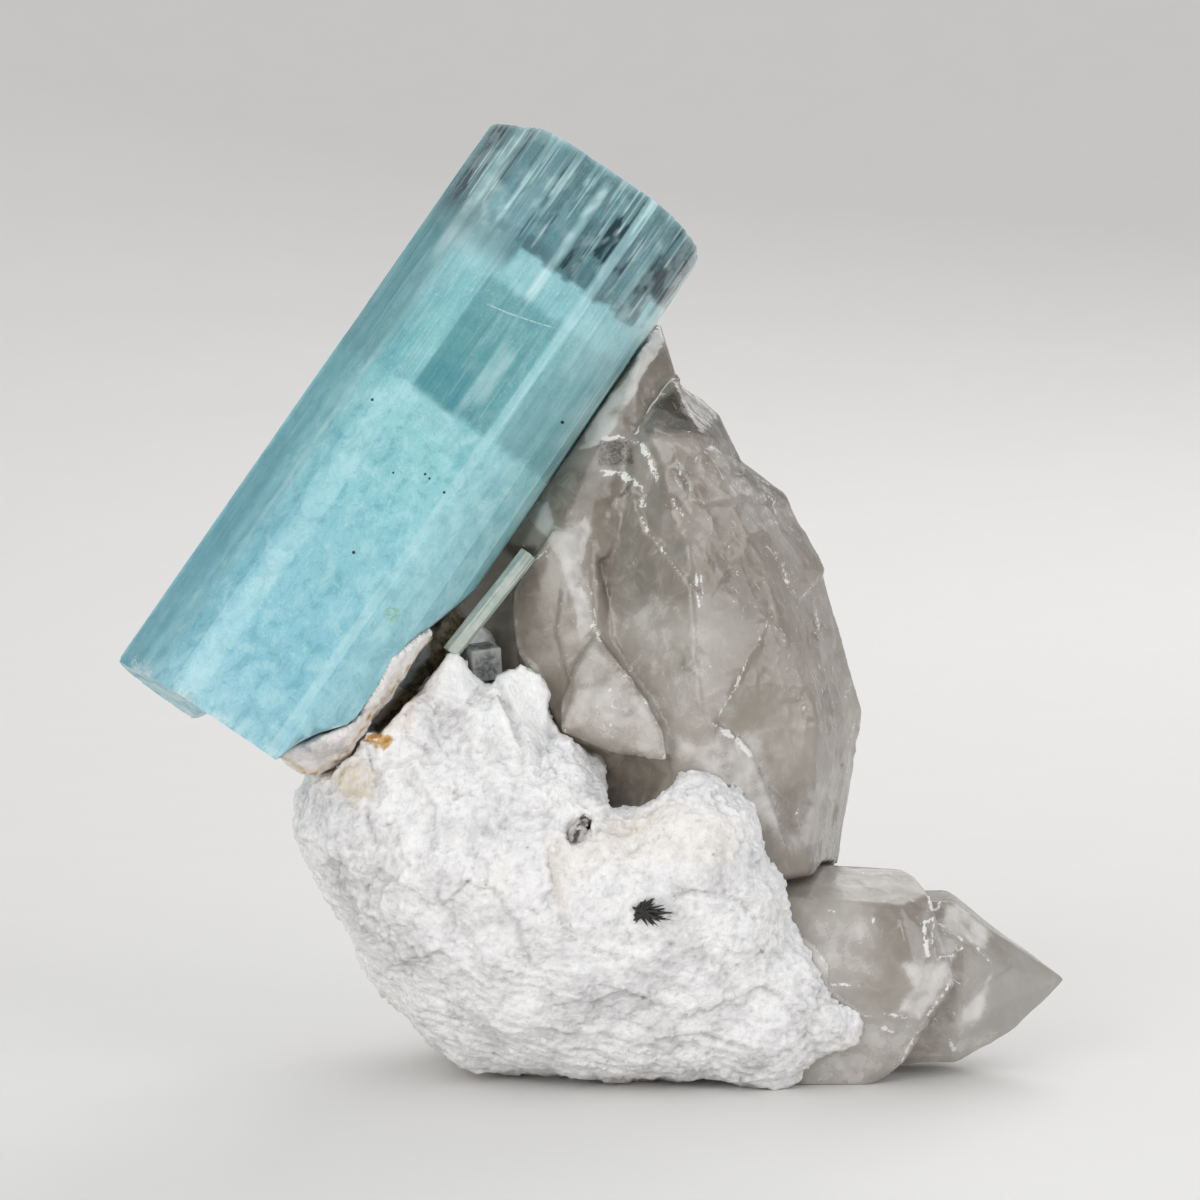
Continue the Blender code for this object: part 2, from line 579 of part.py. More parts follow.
def schorl_spray(group, material, carrier):
    """The spray, lying just off a flat facet that is cut into what carries it."""
    spot = surface_in_front(carrier, *SPRAY_PLACE) + Vector((0.0, SPRAY_FACET_DEPTH, 0.0))
    outline = [(spot.x + across, spot.z + up) for across, up in SPRAY_FACET]
    facet = plate_into(bmesh.new(), outline, spot.y - SPRAY_FACET_REACH, spot.y)
    combine(carrier, add_cutter("spray facet", facet), "DIFFERENCE")

    root = spot - Vector((0.0, HEART_HALF_SIZES[1] + SPRAY_CLEARANCE, 0.0))
    heart = ellipsoid_into(bmesh.new(), root, HEART_HALF_SIZES, 2)
    spray = add_object("schorl_spray", heart, group, material)
    for index, (angle, length) in enumerate(SPRAY_NEEDLES, 1):
        needle = needle_into(bmesh.new(), root, math.radians(angle), length)
        combine(spray, add_cutter(f"needle {index}", needle), "UNION")
    return spray


clear_scene()
pieces = new_collection(OBJECT_NAME, False)
cutters = new_collection("cutters", True)

beryl_blue = new_material("aquamarine", (0.30, 0.66, 0.72), 0.12, 0.6, 1.58)
pale_beryl = new_material("pale aquamarine", (0.55, 0.68, 0.64), 0.15, 0.5, 1.58)
smoky = new_material("smoky quartz", (0.40, 0.36, 0.32), 0.2, 0.5, 1.54)
albite_white = new_material("albite", (0.84, 0.83, 0.81), 0.75)
stained_albite = new_material("stained albite", (0.80, 0.74, 0.66), 0.7)
cube_grey = new_material("grey fluorite", (0.35, 0.36, 0.36), 0.25, 0.4, 1.43)
schorl_black = new_material("schorl", (0.012, 0.012, 0.012), 0.35)

underside = underside_cutter()

beryl = aquamarine_crystal(pieces, beryl_blue)
beryl_room = grown_cutter(beryl)

point = blocks_object("quartz_point", POINT_BLOCKS, pieces, smoky)
combine(point, underside, "DIFFERENCE")
point_room = grown_cutter(point)

quartz = blocks_object("smoky_quartz", QUARTZ_BLOCKS, pieces, smoky)
combine(quartz, beryl_room, "DIFFERENCE")
combine(quartz, point_room, "DIFFERENCE")
quartz_rooms = rooms_for_blocks("smoky_quartz", QUARTZ_BLOCKS)

small_beryl = small_aquamarine(pieces, pale_beryl)
for room in quartz_rooms:
    combine(small_beryl, room, "DIFFERENCE")
small_beryl_room = grown_cutter(small_beryl)

cube = small_cube(pieces, cube_grey)
for room in (*quartz_rooms, small_beryl_room):
    combine(cube, room, "DIFFERENCE")
cube_room = grown_cutter(cube)

crust = albite_crust(pieces, stained_albite)
combine(crust, beryl_room, "DIFFERENCE")

lump = albite_matrix(pieces, albite_white)
crust_rooms = [
    add_cutter(f"room for crust block {index}", grown_hull(corners, CRUST_ROOM))
    for index, corners in enumerate(CRUST_BLOCKS, 1)
]
for room in (beryl_room, point_room, *quartz_rooms, small_beryl_room, cube_room, *crust_rooms):
    combine(lump, room, "DIFFERENCE")

schorl_spray(pieces, schorl_black, lump)
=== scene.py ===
"""Looks of the aquamarine specimen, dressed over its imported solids.

Lengths are in millimetres in the specimen's own frame, before it is centred, and a mesh is
made in metres. Marks on the show side are placed by where they are seen from the front:
seen_at() gives that place, in points of a 1200 x 1200 view.
"""
import math
from itertools import product
import bpy
import numpy as np
from mathutils import Matrix, Vector


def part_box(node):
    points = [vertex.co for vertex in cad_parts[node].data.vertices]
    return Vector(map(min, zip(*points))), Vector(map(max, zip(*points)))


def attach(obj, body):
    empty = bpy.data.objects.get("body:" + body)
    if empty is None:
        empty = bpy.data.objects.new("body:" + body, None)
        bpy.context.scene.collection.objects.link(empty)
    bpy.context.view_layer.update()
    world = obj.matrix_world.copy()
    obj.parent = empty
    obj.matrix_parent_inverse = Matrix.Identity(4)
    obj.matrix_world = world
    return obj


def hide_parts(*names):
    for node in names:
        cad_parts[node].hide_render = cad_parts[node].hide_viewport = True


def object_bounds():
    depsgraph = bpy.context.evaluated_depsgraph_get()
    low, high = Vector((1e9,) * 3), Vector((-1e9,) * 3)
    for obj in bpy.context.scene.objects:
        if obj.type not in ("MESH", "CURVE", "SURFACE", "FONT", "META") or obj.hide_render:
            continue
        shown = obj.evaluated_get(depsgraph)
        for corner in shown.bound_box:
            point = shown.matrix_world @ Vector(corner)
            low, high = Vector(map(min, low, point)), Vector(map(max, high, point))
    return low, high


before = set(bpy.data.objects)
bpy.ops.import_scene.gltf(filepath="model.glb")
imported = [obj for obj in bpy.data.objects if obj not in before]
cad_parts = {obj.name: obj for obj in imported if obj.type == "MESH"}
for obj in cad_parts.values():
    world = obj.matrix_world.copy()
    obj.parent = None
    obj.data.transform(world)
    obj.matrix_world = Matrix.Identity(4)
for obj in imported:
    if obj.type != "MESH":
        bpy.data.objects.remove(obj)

CAD_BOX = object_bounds()

MM = 0.001
CENTRING = np.array([-1.0, -2.2, 0.0])

# Show-side camera: where it stands, where it looks, its pitch and its focal length in points.
CAMERA_PLACE = np.array([1.125, -498.782, 94.178])
CAMERA_PITCH = math.radians(4.0)
CAMERA_FOCAL = 4000.0
VIEW_MIDDLE = 600.0
CAMERA_LENS = 120.0
CAMERA_SENSOR = 36.0

# Aquamarine prism, as in the solids.
BERYL_FOOT = (-44.9, -14.0, 43.7)
BERYL_LENGTH = 82.5
BERYL_TURN = (math.radians(22.4), math.radians(36.5), math.radians(-17.2))
BERYL_HALF_SECTION = [
    (-15.6, 0.0), (-10.3, -10.9), (-8.5, -12.6), (-4.9, -13.5), (5.9, -13.9), (7.1, -13.8),
    (9.5, -12.6), (11.9, -10.7), (14.3, -7.2), (15.3, -3.1),
]
BERYL_HALF_DEPTH = 13.9
BERYL_BREAK = [(6.6, -3.0), (7.4, 2.2), (9.0, 5.2), (12.0, 9.0), (12.01, 20.2), (15.9, 33.0)]
FOOT_SPLIT = -3.4
# Rows of points up the prism: from and to these heights, so many of them.
BERYL_ROWS = [(0.0, 5.0, 9), (5.0, 46.0, 38), (46.0, 50.0, 9), (50.0, 62.0, 12),
              (62.0, 71.0, 18), (71.0, BERYL_LENGTH, 22)]
FOOT_RISE_LEFT = 0.9
FOOT_RISE_RIGHT = 3.0


# ---------------------------------------------------------------- numbers and noise

def step(low, high, x):
    """0 below low, 1 above high, smooth between."""
    t = np.clip((x - low) / (high - low), 0.0, 1.0)
    return t * t * (3.0 - 2.0 * t)


class Noise:
    """Smooth noise from about -1 to 1 at points given as an N x 3 array."""

    def __init__(self, seed):
        rng = np.random.RandomState(seed)
        self.order = rng.permutation(256)
        slopes = rng.normal(size=(256, 3))
        self.slopes = slopes / np.linalg.norm(slopes, axis=1)[:, None]

    def pick(self, cell):
        cell = cell & 255
        first = self.order[(self.order[cell[:, 0]] + cell[:, 1]) & 255]
        return self.order[(first + cell[:, 2]) & 255]

    def __call__(self, points, octaves=1, gain=0.5):
        total = np.zeros(len(points))
        size = 1.0
        for octave in range(octaves):
            p = points * 2.03 ** octave + 17.3 * octave
            cell = np.floor(p).astype(int)
            inside = p - cell
            ease = inside ** 3 * (inside * (inside * 6.0 - 15.0) + 10.0)
            value = np.zeros(len(p))
            for corner in product((0, 1), repeat=3):
                slope = self.slopes[self.pick(cell + corner)]
                dot = ((inside - corner) * slope).sum(1)
                share = np.where(np.array(corner) == 1, ease, 1.0 - ease).prod(1)
                value += dot * share
            total += value * size * 1.6
            size *= gain
        return total

    def ridges(self, points, octaves=3):
        """Sharp crests: 1 on a crest and about 0 between."""
        total = np.zeros(len(points))
        size = 1.0
        weight = 0.0
        for octave in range(octaves):
            total += size * (1.0 - np.abs(self(points * 2.1 ** octave + 31.7 * octave)))
            weight += size
            size *= 0.5
        return np.clip(total / weight, 0.0, 1.0) ** 2

    def cells(self, points):
        """Distance to the nearest scattered seed, and the height of a tilted plane round it."""
        cell = np.floor(points).astype(int)
        near = np.full(len(points), 9.0)
        height = np.zeros(len(points))
        for shift in product((-1, 0, 1), repeat=3):
            index = self.pick(cell + shift)
            offset = points - (cell + shift + 0.5 + 0.42 * self.slopes[index])
            away = np.sqrt((offset ** 2).sum(1))
            closer = away < near
            tilt = (offset * self.slopes[(index + 57) & 255]).sum(1)
            height = np.where(closer, tilt, height)
            near = np.where(closer, away, near)
        return near, height


def seen_at(points):
    """Where points are seen from the front, as arrays across and down."""
    rel = points - CAMERA_PLACE
    ahead = rel[:, 1] * math.cos(CAMERA_PITCH) - rel[:, 2] * math.sin(CAMERA_PITCH)
    above = rel[:, 1] * math.sin(CAMERA_PITCH) + rel[:, 2] * math.cos(CAMERA_PITCH)
    across = VIEW_MIDDLE + CAMERA_FOCAL * rel[:, 0] / ahead
    return across, VIEW_MIDDLE - CAMERA_FOCAL * above / ahead


def to_line(x, y, line):
    """Distance to a line of corners, and on which side of it (1 is left of its way)."""
    best = np.full(len(x), 1e9)
    side = np.ones(len(x))
    for (x0, y0), (x1, y1) in zip(line, line[1:]):
        dx, dy = x1 - x0, y1 - y0
        share = np.clip(((x - x0) * dx + (y - y0) * dy) / (dx * dx + dy * dy), 0.0, 1.0)
        away = np.hypot(x - x0 - share * dx, y - y0 - share * dy)
        here = np.sign(dx * (y - y0) - dy * (x - x0))
        side = np.where(away < best, here, side)
        best = np.minimum(best, away)
    return best, -side


def within(x, y, outline, softness):
    """1 inside an outline, 0 outside it, with a soft border."""
    odd = np.zeros(len(x), bool)
    for (x0, y0), (x1, y1) in zip(outline, outline[1:] + outline[:1]):
        crosses = (y0 > y) != (y1 > y)
        reach = x0 + (y - y0) * (x1 - x0) / (y1 - y0 if y1 != y0 else 1e-9)
        odd ^= crosses & (x < reach)
    away, _ = to_line(x, y, outline + outline[:1])
    return step(-softness, softness, np.where(odd, away, -away))


def patch(u, v, u0, u1, v0, v1, soft_u, soft_v):
    """A soft-edged rectangle."""
    across = step(u0 - soft_u, u0 + soft_u, u) * (1.0 - step(u1 - soft_u, u1 + soft_u, u))
    along = step(v0 - soft_v, v0 + soft_v, v) * (1.0 - step(v1 - soft_v, v1 + soft_v, v))
    return across * along


# ---------------------------------------------------------------- meshes

def add_piece(name, mesh, node):
    piece = bpy.data.objects.new(name, mesh)
    bpy.context.scene.collection.objects.link(piece)
    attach(piece, "root")
    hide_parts(node)


def remeshed(node, voxel):
    """A copy of a solid's mesh as an even fine grid of faces."""
    source = bpy.data.objects.new("source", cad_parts[node].data.copy())
    bpy.context.scene.collection.objects.link(source)
    weld = source.modifiers.new("weld", "WELD")
    weld.merge_threshold = 1e-6
    remesh = source.modifiers.new("grid", "REMESH")
    remesh.mode = "VOXEL"
    remesh.voxel_size = voxel * MM
    depsgraph = bpy.context.evaluated_depsgraph_get()
    mesh = bpy.data.meshes.new_from_object(source.evaluated_get(depsgraph))
    bpy.data.objects.remove(source)
    mesh.materials.clear()
    return mesh


def points_of(mesh):
    values = np.zeros(len(mesh.vertices) * 3)
    mesh.vertices.foreach_get("co", values)
    return values.reshape(-1, 3) / MM - CENTRING


def normals_of(mesh):
    values = np.zeros(len(mesh.vertices) * 3)
    mesh.vertices.foreach_get("normal", values)
    return values.reshape(-1, 3)


def set_points(mesh, points, box, room=0.0):
    """Moves the points, kept inside a solid's box with some room, and inside the whole box."""
    metres = (points + CENTRING) * MM
    low = np.maximum(np.array(box[0]) - room * MM, np.array(CAD_BOX[0]))
    high = np.minimum(np.array(box[1]) + room * MM, np.array(CAD_BOX[1]))
    mesh.vertices.foreach_set("co", np.clip(metres, low, high).ravel())
    mesh.update()


def set_values(mesh, **fields):
    """Keeps each field, cut to 0 to 1, as a number at every point of the mesh."""
    for name, values in fields.items():
        attribute = mesh.attributes.new(name, "FLOAT", "POINT")
        attribute.data.foreach_set("value", np.clip(values, 0.0, 1.0).astype(np.float32))


def set_vectors(mesh, **fields):
    for name, vectors in fields.items():
        attribute = mesh.attributes.new(name, "FLOAT_VECTOR", "POINT")
        attribute.data.foreach_set("vector", vectors.astype(np.float32).ravel())


def relaxed(mesh, points, share, rounds):
    """Points moved towards the middle of their neighbours by a share each round."""
    edges = np.zeros(len(mesh.edges) * 2, int)
    mesh.edges.foreach_get("vertices", edges)
    start, end = edges.reshape(-1, 2).T
    count = np.bincount(start, minlength=len(points)) + np.bincount(end, minlength=len(points))
    for _ in range(rounds):
        middle = np.zeros_like(points)
        for axis in range(3):
            middle[:, axis] = np.bincount(start, points[end, axis], len(points))
            middle[:, axis] += np.bincount(end, points[start, axis], len(points))
        middle /= np.maximum(count, 1)[:, None]
        points = points + (middle - points) * share[:, None]
    return points


def smooth_shaded(mesh, sharp_angle=None):
    mesh.polygons.foreach_set("use_smooth", [True] * len(mesh.polygons))
    if sharp_angle:
        mesh.set_sharp_from_angle(angle=math.radians(sharp_angle))


# ---------------------------------------------------------------- materials

def srgb(red, green, blue):
    def linear(value):
        value /= 255.0
        return value / 12.92 if value <= 0.04045 else ((value + 0.055) / 1.055) ** 2.4
    return linear(red), linear(green), linear(blue), 1.0


class Shader:
    """A new material's node tree, with short ways to add the nodes that are used here."""

    def __init__(self, name):
        self.material = bpy.data.materials.new(name)
        self.material.use_nodes = True
        self.tree = self.material.node_tree
        self.surface = self.tree.nodes["Principled BSDF"]

    def add(self, kind, inputs, **settings):
        made = self.tree.nodes.new("ShaderNode" + kind)
        for key, value in settings.items():
            setattr(made, key, value)
        self.fill(made, inputs)
        return made

    def fill(self, made, inputs):
        for key, value in inputs.items():
            if isinstance(value, bpy.types.NodeSocket):
                self.tree.links.new(value, made.inputs[key])
            else:
                made.inputs[key].default_value = value

    def place(self):
        return self.add("TexCoord", {}).outputs["Object"]

    def value(self, name):
        return self.add("Attribute", {}, attribute_name=name).outputs["Fac"]

    def vector(self, name):
        return self.add("Attribute", {}, attribute_name=name).outputs["Vector"]

    def stretched(self, vector, scale):
        return self.add("Mapping", {"Vector": vector, "Scale": scale}).outputs["Vector"]

    def turned(self, vector, angle):
        inputs = {"Vector": vector, "Rotation": (0.0, angle, 0.0)}
        return self.add("Mapping", inputs).outputs["Vector"]

    def noise(self, vector, scale, detail=3.0, roughness=0.55, distortion=0.0):
        inputs = {"Vector": vector, "Scale": scale, "Detail": detail,
                  "Roughness": roughness, "Distortion": distortion}
        return self.add("TexNoise", inputs).outputs["Fac"]

    def cells(self, vector, scale):
        """A scattering of cells, with its Distance to the seeds and its Color for each cell."""
        inputs = {"Vector": vector, "Scale": scale}
        return self.add("TexVoronoi", inputs, feature="F1").outputs

    def math(self, operation, a, b=0.0, c=0.0):
        return self.add("Math", {0: a, 1: b, 2: c}, operation=operation).outputs[0]

    def times(self, a, b):
        return self.math("MULTIPLY", a, b)

    def spread(self, value, low, high, most=1.0, least=0.0):
        """From least at low to most at high, smooth between."""
        inputs = {"Value": value, "From Min": low, "From Max": high,
                  "To Min": least, "To Max": most}
        made = self.add("MapRange", inputs, interpolation_type="SMOOTHSTEP")
        return made.outputs["Result"]

    def ramp(self, value, stops):
        made = self.add("ValToRGB", {"Fac": value})
        elements = made.color_ramp.elements
        while len(elements) < len(stops):
            elements.new(0.5)
        for element, (place, colour) in zip(elements, stops):
            element.position = place
            element.color = colour
        return made.outputs["Color"]

    def mix(self, share, a, b, blend="MIX"):
        made = self.add("Mix", {0: share, 6: a, 7: b}, data_type="RGBA", blend_type=blend)
        return made.outputs[2]

    def painted(self, body, *layers):
        """A colour with layers over it, each a share and a colour."""
        for share, colour in layers:
            body = self.mix(share, body, colour)
        return body

    def bump(self, height, distance, strength=1.0, normal=None):
        inputs = {"Height": height, "Distance": distance, "Strength": strength}
        if normal:
            inputs["Normal"] = normal
        return self.add("Bump", inputs).outputs["Normal"]

    def bent(self, place, scale, amount):
        """Places shifted by a noise, so that patterns on them have no straight lines."""
        inputs = {"Vector": place, "Scale": scale, "Detail": 2.0}
        shift = self.add("TexNoise", inputs).outputs["Color"]
        inputs = {0: shift, 1: (amount,) * 3, 2: place}
        return self.add("VectorMath", inputs, operation="MULTIPLY_ADD").outputs["Vector"]

    def ragged(self, field, grain, low, high, amount=0.9):
        """A soft field cut off along a grainy border."""
        shifted = self.math("MULTIPLY_ADD", grain, amount, self.math("ADD", field, -amount / 2))
        return self.spread(shifted, low, high)

    def spot(self, place, middle, size):
        """1 within this distance of a place."""
        made = self.add("VectorMath", {0: place, 1: middle}, operation="DISTANCE")
        return self.spread(made.outputs["Value"], size * 1.3, size * 0.7)

    def finish(self, **inputs):
        self.fill(self.surface, {key.replace("_", " "): value for key, value in inputs.items()})
        return self.material

    def absorb(self, colour, density):
        volume = self.add("VolumeAbsorption", {"Color": colour, "Density": density})
        output = self.tree.nodes["Material Output"]
        self.tree.links.new(volume.outputs["Volume"], output.inputs["Volume"])


# ---------------------------------------------------------------- aquamarine

# Light and dark streaks of the clear end and the cloudy bodies below it, on the show side, with
# painted shade on the left facet, painted highlights on the narrow bright facets and painted light
# on the right facets.
# Each is left, right, lower and upper limit across and up the prism, soft edges, amount.
BERYL_DARK_STREAKS_AND_SHADE = [
    (2, 21, 545, 704, 3, 26, 0.72), (34, 46, 596, 704, 2, 20, 0.42),
    (46, 58, 628, 704, 3, 20, 0.36), (84, 107, 572, 704, 2, 3, 0.16),
    (107, 122, 572, 640, 2, 3, 0.12), (135, 152, 572, 640, 1.5, 5, 0.62),
    (155, 171, 606, 652, 2, 5, 0.95), (155, 171, 652, 700, 2, 8, 0.32),
    (182, 194, 571, 612, 0.8, 3, 0.40), (182, 194, 606, 648, 0.8, 6, 0.62),
    (211, 229, 571, 606, 2, 5, 0.60), (211, 229, 602, 648, 2, 5, 0.95),
    (211, 231, 648, 700, 2, 6, 0.45), (229, 246, 604, 652, 2, 4, 1.00),
    (229, 248, 652, 700, 2, 8, 0.34), (194, 204, 640, 700, 1, 8, 0.20),
    # Painted shade: the left facet, which faces away from the light, is darkened down most of its
    # length.
    (0, 21, -40, 549, 4, 12, 0.60), (21, 34, -40, 530, 3, 12, 0.30),
    (34, 60, -40, 380, 5, 30, 0.13), (84, 131, 397, 442, 1, 4, 0.62),
    (84, 112, 442, 492, 1, 10, 0.42), (112, 131, 442, 486, 1, 10, 0.22),
    (84, 131, 492, 530, 1, 8, 0.12), (152, 161, 430, 500, 3, 15, 0.22),
    (192, 211, 398, 492, 2, 8, 0.42), (211, 230, 398, 446, 3, 8, 0.28),
    (184, 193, 398, 470, 1, 8, 0.18), (34, 46, 405, 470, 3, 20, 0.22),
    (134, 172, 397, 425, 6, 10, 0.12),
    (0, 70, 160, 260, 12, 40, 0.10), (92, 172, 120, 240, 30, 40, 0.06),
]
BERYL_LIGHT_STREAKS_AND_PAINTED_LIGHT = [
    (23, 33, 518, 668, 2.5, 18, 0.55), (34, 62, 532, 606, 8, 12, 0.42),
    (64, 84, 532, 650, 4, 20, 0.18), (57, 61, 580, 700, 0.9, 20, 0.42),
    # Painted highlight: the narrow facet left of the main face is lightened as a soft bright band.
    (62, 84, -40, 397, 1.5, 6, 0.12), (62, 84, 397, 700, 1.5, 8, 0.10),
    (90, 94, 612, 676, 0.9, 10, 0.50), (125, 134, 533, 672, 2.5, 10, 0.78),
    (108, 112, 658, 690, 0.8, 5, 0.50), (139, 143, 660, 690, 0.8, 5, 0.45),
    # Painted highlight: the narrow facet right of the main face is lightened as a bright stripe its
    # whole length.
    (172, 182, -40, 730, 0.7, 4, 0.30), (203, 210, 572, 655, 1.0, 6, 0.48),
    (84, 240, 532, 571, 1.5, 5, 0.08), (133, 141, 405, 492, 2.0, 12, 0.34),
    (141, 152, 420, 482, 4, 10, 0.46), (230, 252, 436, 532, 6, 14, 0.30),
    (196, 234, 492, 532, 8, 8, 0.16), (34, 62, 450, 528, 5, 20, 0.12),
    (66, 82, -10, 180, 2, 60, 0.10), (33, 37, 180, 420, 1.0, 60, 0.14),
    (60, 240, -20, 40, 20, 26, 0.10), (213, 252, 560, 606, 4, 6, 0.28),
    (242, 252, 350, 700, 3, 20, 0.16), (84, 172, 371, 397, 3, 5, 0.10),
    # Painted light: the right facets are lightened against their shading.
    (184, 256, -30, 560, 6, 30, 0.16),
]
BERYL_CLEAR = [
    (0, 94, 545, 760, 4, 24, 0.80), (94, 172, 571, 760, 2, 2.5, 0.92),
    (182, 231, 571, 760, 1, 2.5, 0.92), (231, 260, 604, 760, 2, 2.5, 0.95),
    (172, 182, 571, 760, 0.8, 3, 0.45), (84, 172, 397, 532, 2, 4, 0.30),
    (184, 250, 397, 532, 3, 5, 0.24), (0, 34, 384, 545, 3, 12, 0.26),
]
# Hairlines that run up the prism: how many, their zone up it, longest length, strength, seed.
BERYL_HAIRLINES = [
    ("light", 54, 574.0, 706.0, 95.0, 0.95, 5), ("dark", 90, 574.0, 706.0, 95.0, 0.75, 6),
    ("light", 50, 400.0, 540.0, 80.0, 0.28, 7), ("dark", 80, 390.0, 560.0, 90.0, 0.30, 8),
    ("dark", 26, 20.0, 380.0, 150.0, 0.14, 9), ("light", 26, 20.0, 380.0, 150.0, 0.14, 10),
]
# Clouds start at these heights up the prism and are full at the second.
BERYL_CLOUD_LEVEL = (399.0, 391.0)
BERYL_FRACTURE = [(98, 506), (122, 511), (150, 519), (173, 527), (197, 529), (223, 526)]
# Colours up the prism: of its body, and of its dark streaks and painted shade.
BERYL_BODY = [
    (0.000, srgb(162, 206, 220)), (0.180, srgb(148, 201, 215)), (0.370, srgb(152, 205, 214)),
    (0.480, srgb(153, 207, 211)), (0.548, srgb(148, 204, 208)), (0.560, srgb(128, 188, 192)),
    (0.660, srgb(132, 191, 195)), (0.735, srgb(138, 193, 197)), (0.755, srgb(158, 206, 210)),
    (0.785, srgb(150, 199, 203)), (0.800, srgb(148, 198, 206)), (0.900, srgb(158, 204, 211)),
    (1.000, srgb(182, 220, 224)),
]
BERYL_STREAK_AND_SHADE_COLOURS = [(0.50, srgb(62, 134, 148)), (0.76, srgb(58, 126, 134)), (0.80, srgb(12, 50, 60))]
BERYL_SPECKS = [
    ((240.5, 161), 2.6), ((228, 452), 1.8), ((131, 226), 1.7), ((171, 327), 1.4),
    ((145, 331), 1.3), ((151, 330), 1.2), ((59, 362), 1.5), ((118, 314), 1.1),
]
BERYL_GREEN_FLECK = ((198.0, 197.0), 3.0)
# The view of the prism, turned so that its length runs up.
PRISM_TURN = (0.8207, 0.5714)
PRISM_CORNER = (117.0, 663.0)


def prism_view(points):
    across, down = seen_at(points)
    dx, dy = across - PRISM_CORNER[0], down - PRISM_CORNER[1]
    u = dx * PRISM_TURN[0] + dy * PRISM_TURN[1]
    return u, dx * PRISM_TURN[1] - dy * PRISM_TURN[0]


def beryl_placing():
    heading, lean, spin = BERYL_TURN
    turning = Matrix.Rotation(heading, 3, "Z") @ Matrix.Rotation(lean, 3, "Y")
    return np.array(turning @ Matrix.Rotation(spin, 3, "Z"))


def section_points(spacing):
    """Points along the six-sided outline, and each one's place along it and inward way."""
    corners = np.array(BERYL_HALF_SECTION + [(-x, -y) for x, y in BERYL_HALF_SECTION])
    places, inwards, run = [], [], []
    travelled = 0.0
    for start, end in zip(corners, np.roll(corners, -1, axis=0)):
        way = end - start
        length = np.hypot(*way)
        count = max(2, int(round(length / spacing)))
        inward = np.array([-way[1], way[0]]) / length
        for index in range(count):
            places.append(start + way * index / count)
            inwards.append(inward)
            run.append(travelled + length * index / count)
        travelled += length
    return np.array(places), np.array(inwards), np.array(run), travelled


def foot_height(x, y):
    """Height of the broken foot over the prism's section."""
    back = (y + BERYL_HALF_DEPTH) / (2.0 * BERYL_HALF_DEPTH)
    rightward = step(FOOT_SPLIT - 1.0, FOOT_SPLIT + 1.0, x)
    rise = FOOT_RISE_LEFT + (FOOT_RISE_RIGHT - FOOT_RISE_LEFT) * rightward
    broken = np.interp(x, *zip(*BERYL_BREAK))
    return np.maximum(rise * back, np.where(x > BERYL_BREAK[0][0], broken, -3.0))


def prism_flanks(ring, inward, run, around, shares, grain, chips):
    """Rows of points up the prism: its outline, worn in by ridges, terraces and chips."""
    foot = foot_height(ring[:, 0], ring[:, 1])
    # Noise is read round a circle, so that it closes where the outline does.
    turn = run / around * 2 * math.pi
    circle = np.stack([np.cos(turn), np.sin(turn)], 1) * around / (2.0 * math.pi)
    rows = []
    for share in shares:
        height = foot + (BERYL_LENGTH - foot) * share

        def at(width, length):
            return np.column_stack([circle / width, height / length])

        calm = 0.35 + 0.65 * step(38.0, 50.0, height)
        depth = 0.024 * calm * (1 + grain(at(0.34, 26.0)))
        depth += 0.045 * calm * (1 + grain(at(1.15, 48.0), 2))
        depth += 0.04 * calm * step(0.18, 0.3, chips(at(2.6, 7.0)))
        edge = np.exp(-(np.minimum(height - foot, BERYL_LENGTH - height) / 0.42) ** 2)
        depth += 0.42 * edge * (0.35 + 0.65 * step(-0.1, 0.6, chips(at(1.1, 0.9))))
        near_foot = np.exp(-((height - foot) / 1.1) ** 2)
        depth += 0.6 * near_foot * step(0.0, 0.5, chips(0.6 * at(1.1, 0.9)))
        rows.append(np.column_stack([ring + inward * depth[:, None], height]))
    return np.array(rows)


def prism_cap(rim, is_top, grain, chips):
    """Rings that shrink from a rim to its middle: rough at the foot and all but flat on top."""
    rings = []
    for size in np.linspace(1.0, 0.0, 15)[1:]:
        flat = rim[:, :2] * size
        none = np.zeros(len(rim))
        if is_top:
            rough = chips(np.column_stack([flat / 3.0, none + 5.0]), 3)
            height = BERYL_LENGTH - 0.10 * (1 + rough) * step(1.0, 0.93, size)
        else:
            rough = np.column_stack([flat / 2.6, none + 9.0])
            height = foot_height(flat[:, 0], flat[:, 1])
            height = height + (0.5 * np.abs(chips(rough, 4)) + 0.25 * grain.cells(rough)[0])
        rings.append(np.column_stack([flat, height]))
    return np.array(rings)


def aquamarine_mesh():
    ring, inward, run, around = section_points(0.145)
    grain, chips = Noise(11), Noise(12)
    share = [np.linspace(low, high, steps, endpoint=False) for low, high, steps in BERYL_ROWS]
    share = np.append(np.concatenate(share), BERYL_LENGTH) / BERYL_LENGTH
    flanks = prism_flanks(ring, inward, run, around, share, grain, chips)
    caps = [prism_cap(flanks[0], False, grain, chips), prism_cap(flanks[-1], True, grain, chips)]
    local = np.concatenate([part.reshape(-1, 3) for part in (flanks, *caps)])

    rows, count = len(share), len(ring)
    index = np.arange(count)
    after = (index + 1) % count

    def band(low, high):
        """Faces between two rings of points, given by the number of each one's first point."""
        return np.stack([low + index, low + after, high + after, high + index], 1)

    faces = [band(row * count, (row + 1) * count) for row in range(rows - 1)]
    start = rows * count
    for is_top, cap, rim in ((False, caps[0], 0), (True, caps[1], (rows - 1) * count)):
        firsts = [rim] + [start + number * count for number in range(len(cap))]
        for outer, inner in zip(firsts, firsts[1:]):
            faces.append(band(outer, inner) if is_top else band(inner, outer))
        start += len(cap) * count
    mesh = bpy.data.meshes.new("aquamarine")
    mesh.from_pydata((local * MM).tolist(), [], np.concatenate(faces).tolist())
    return mesh, local, rows * count


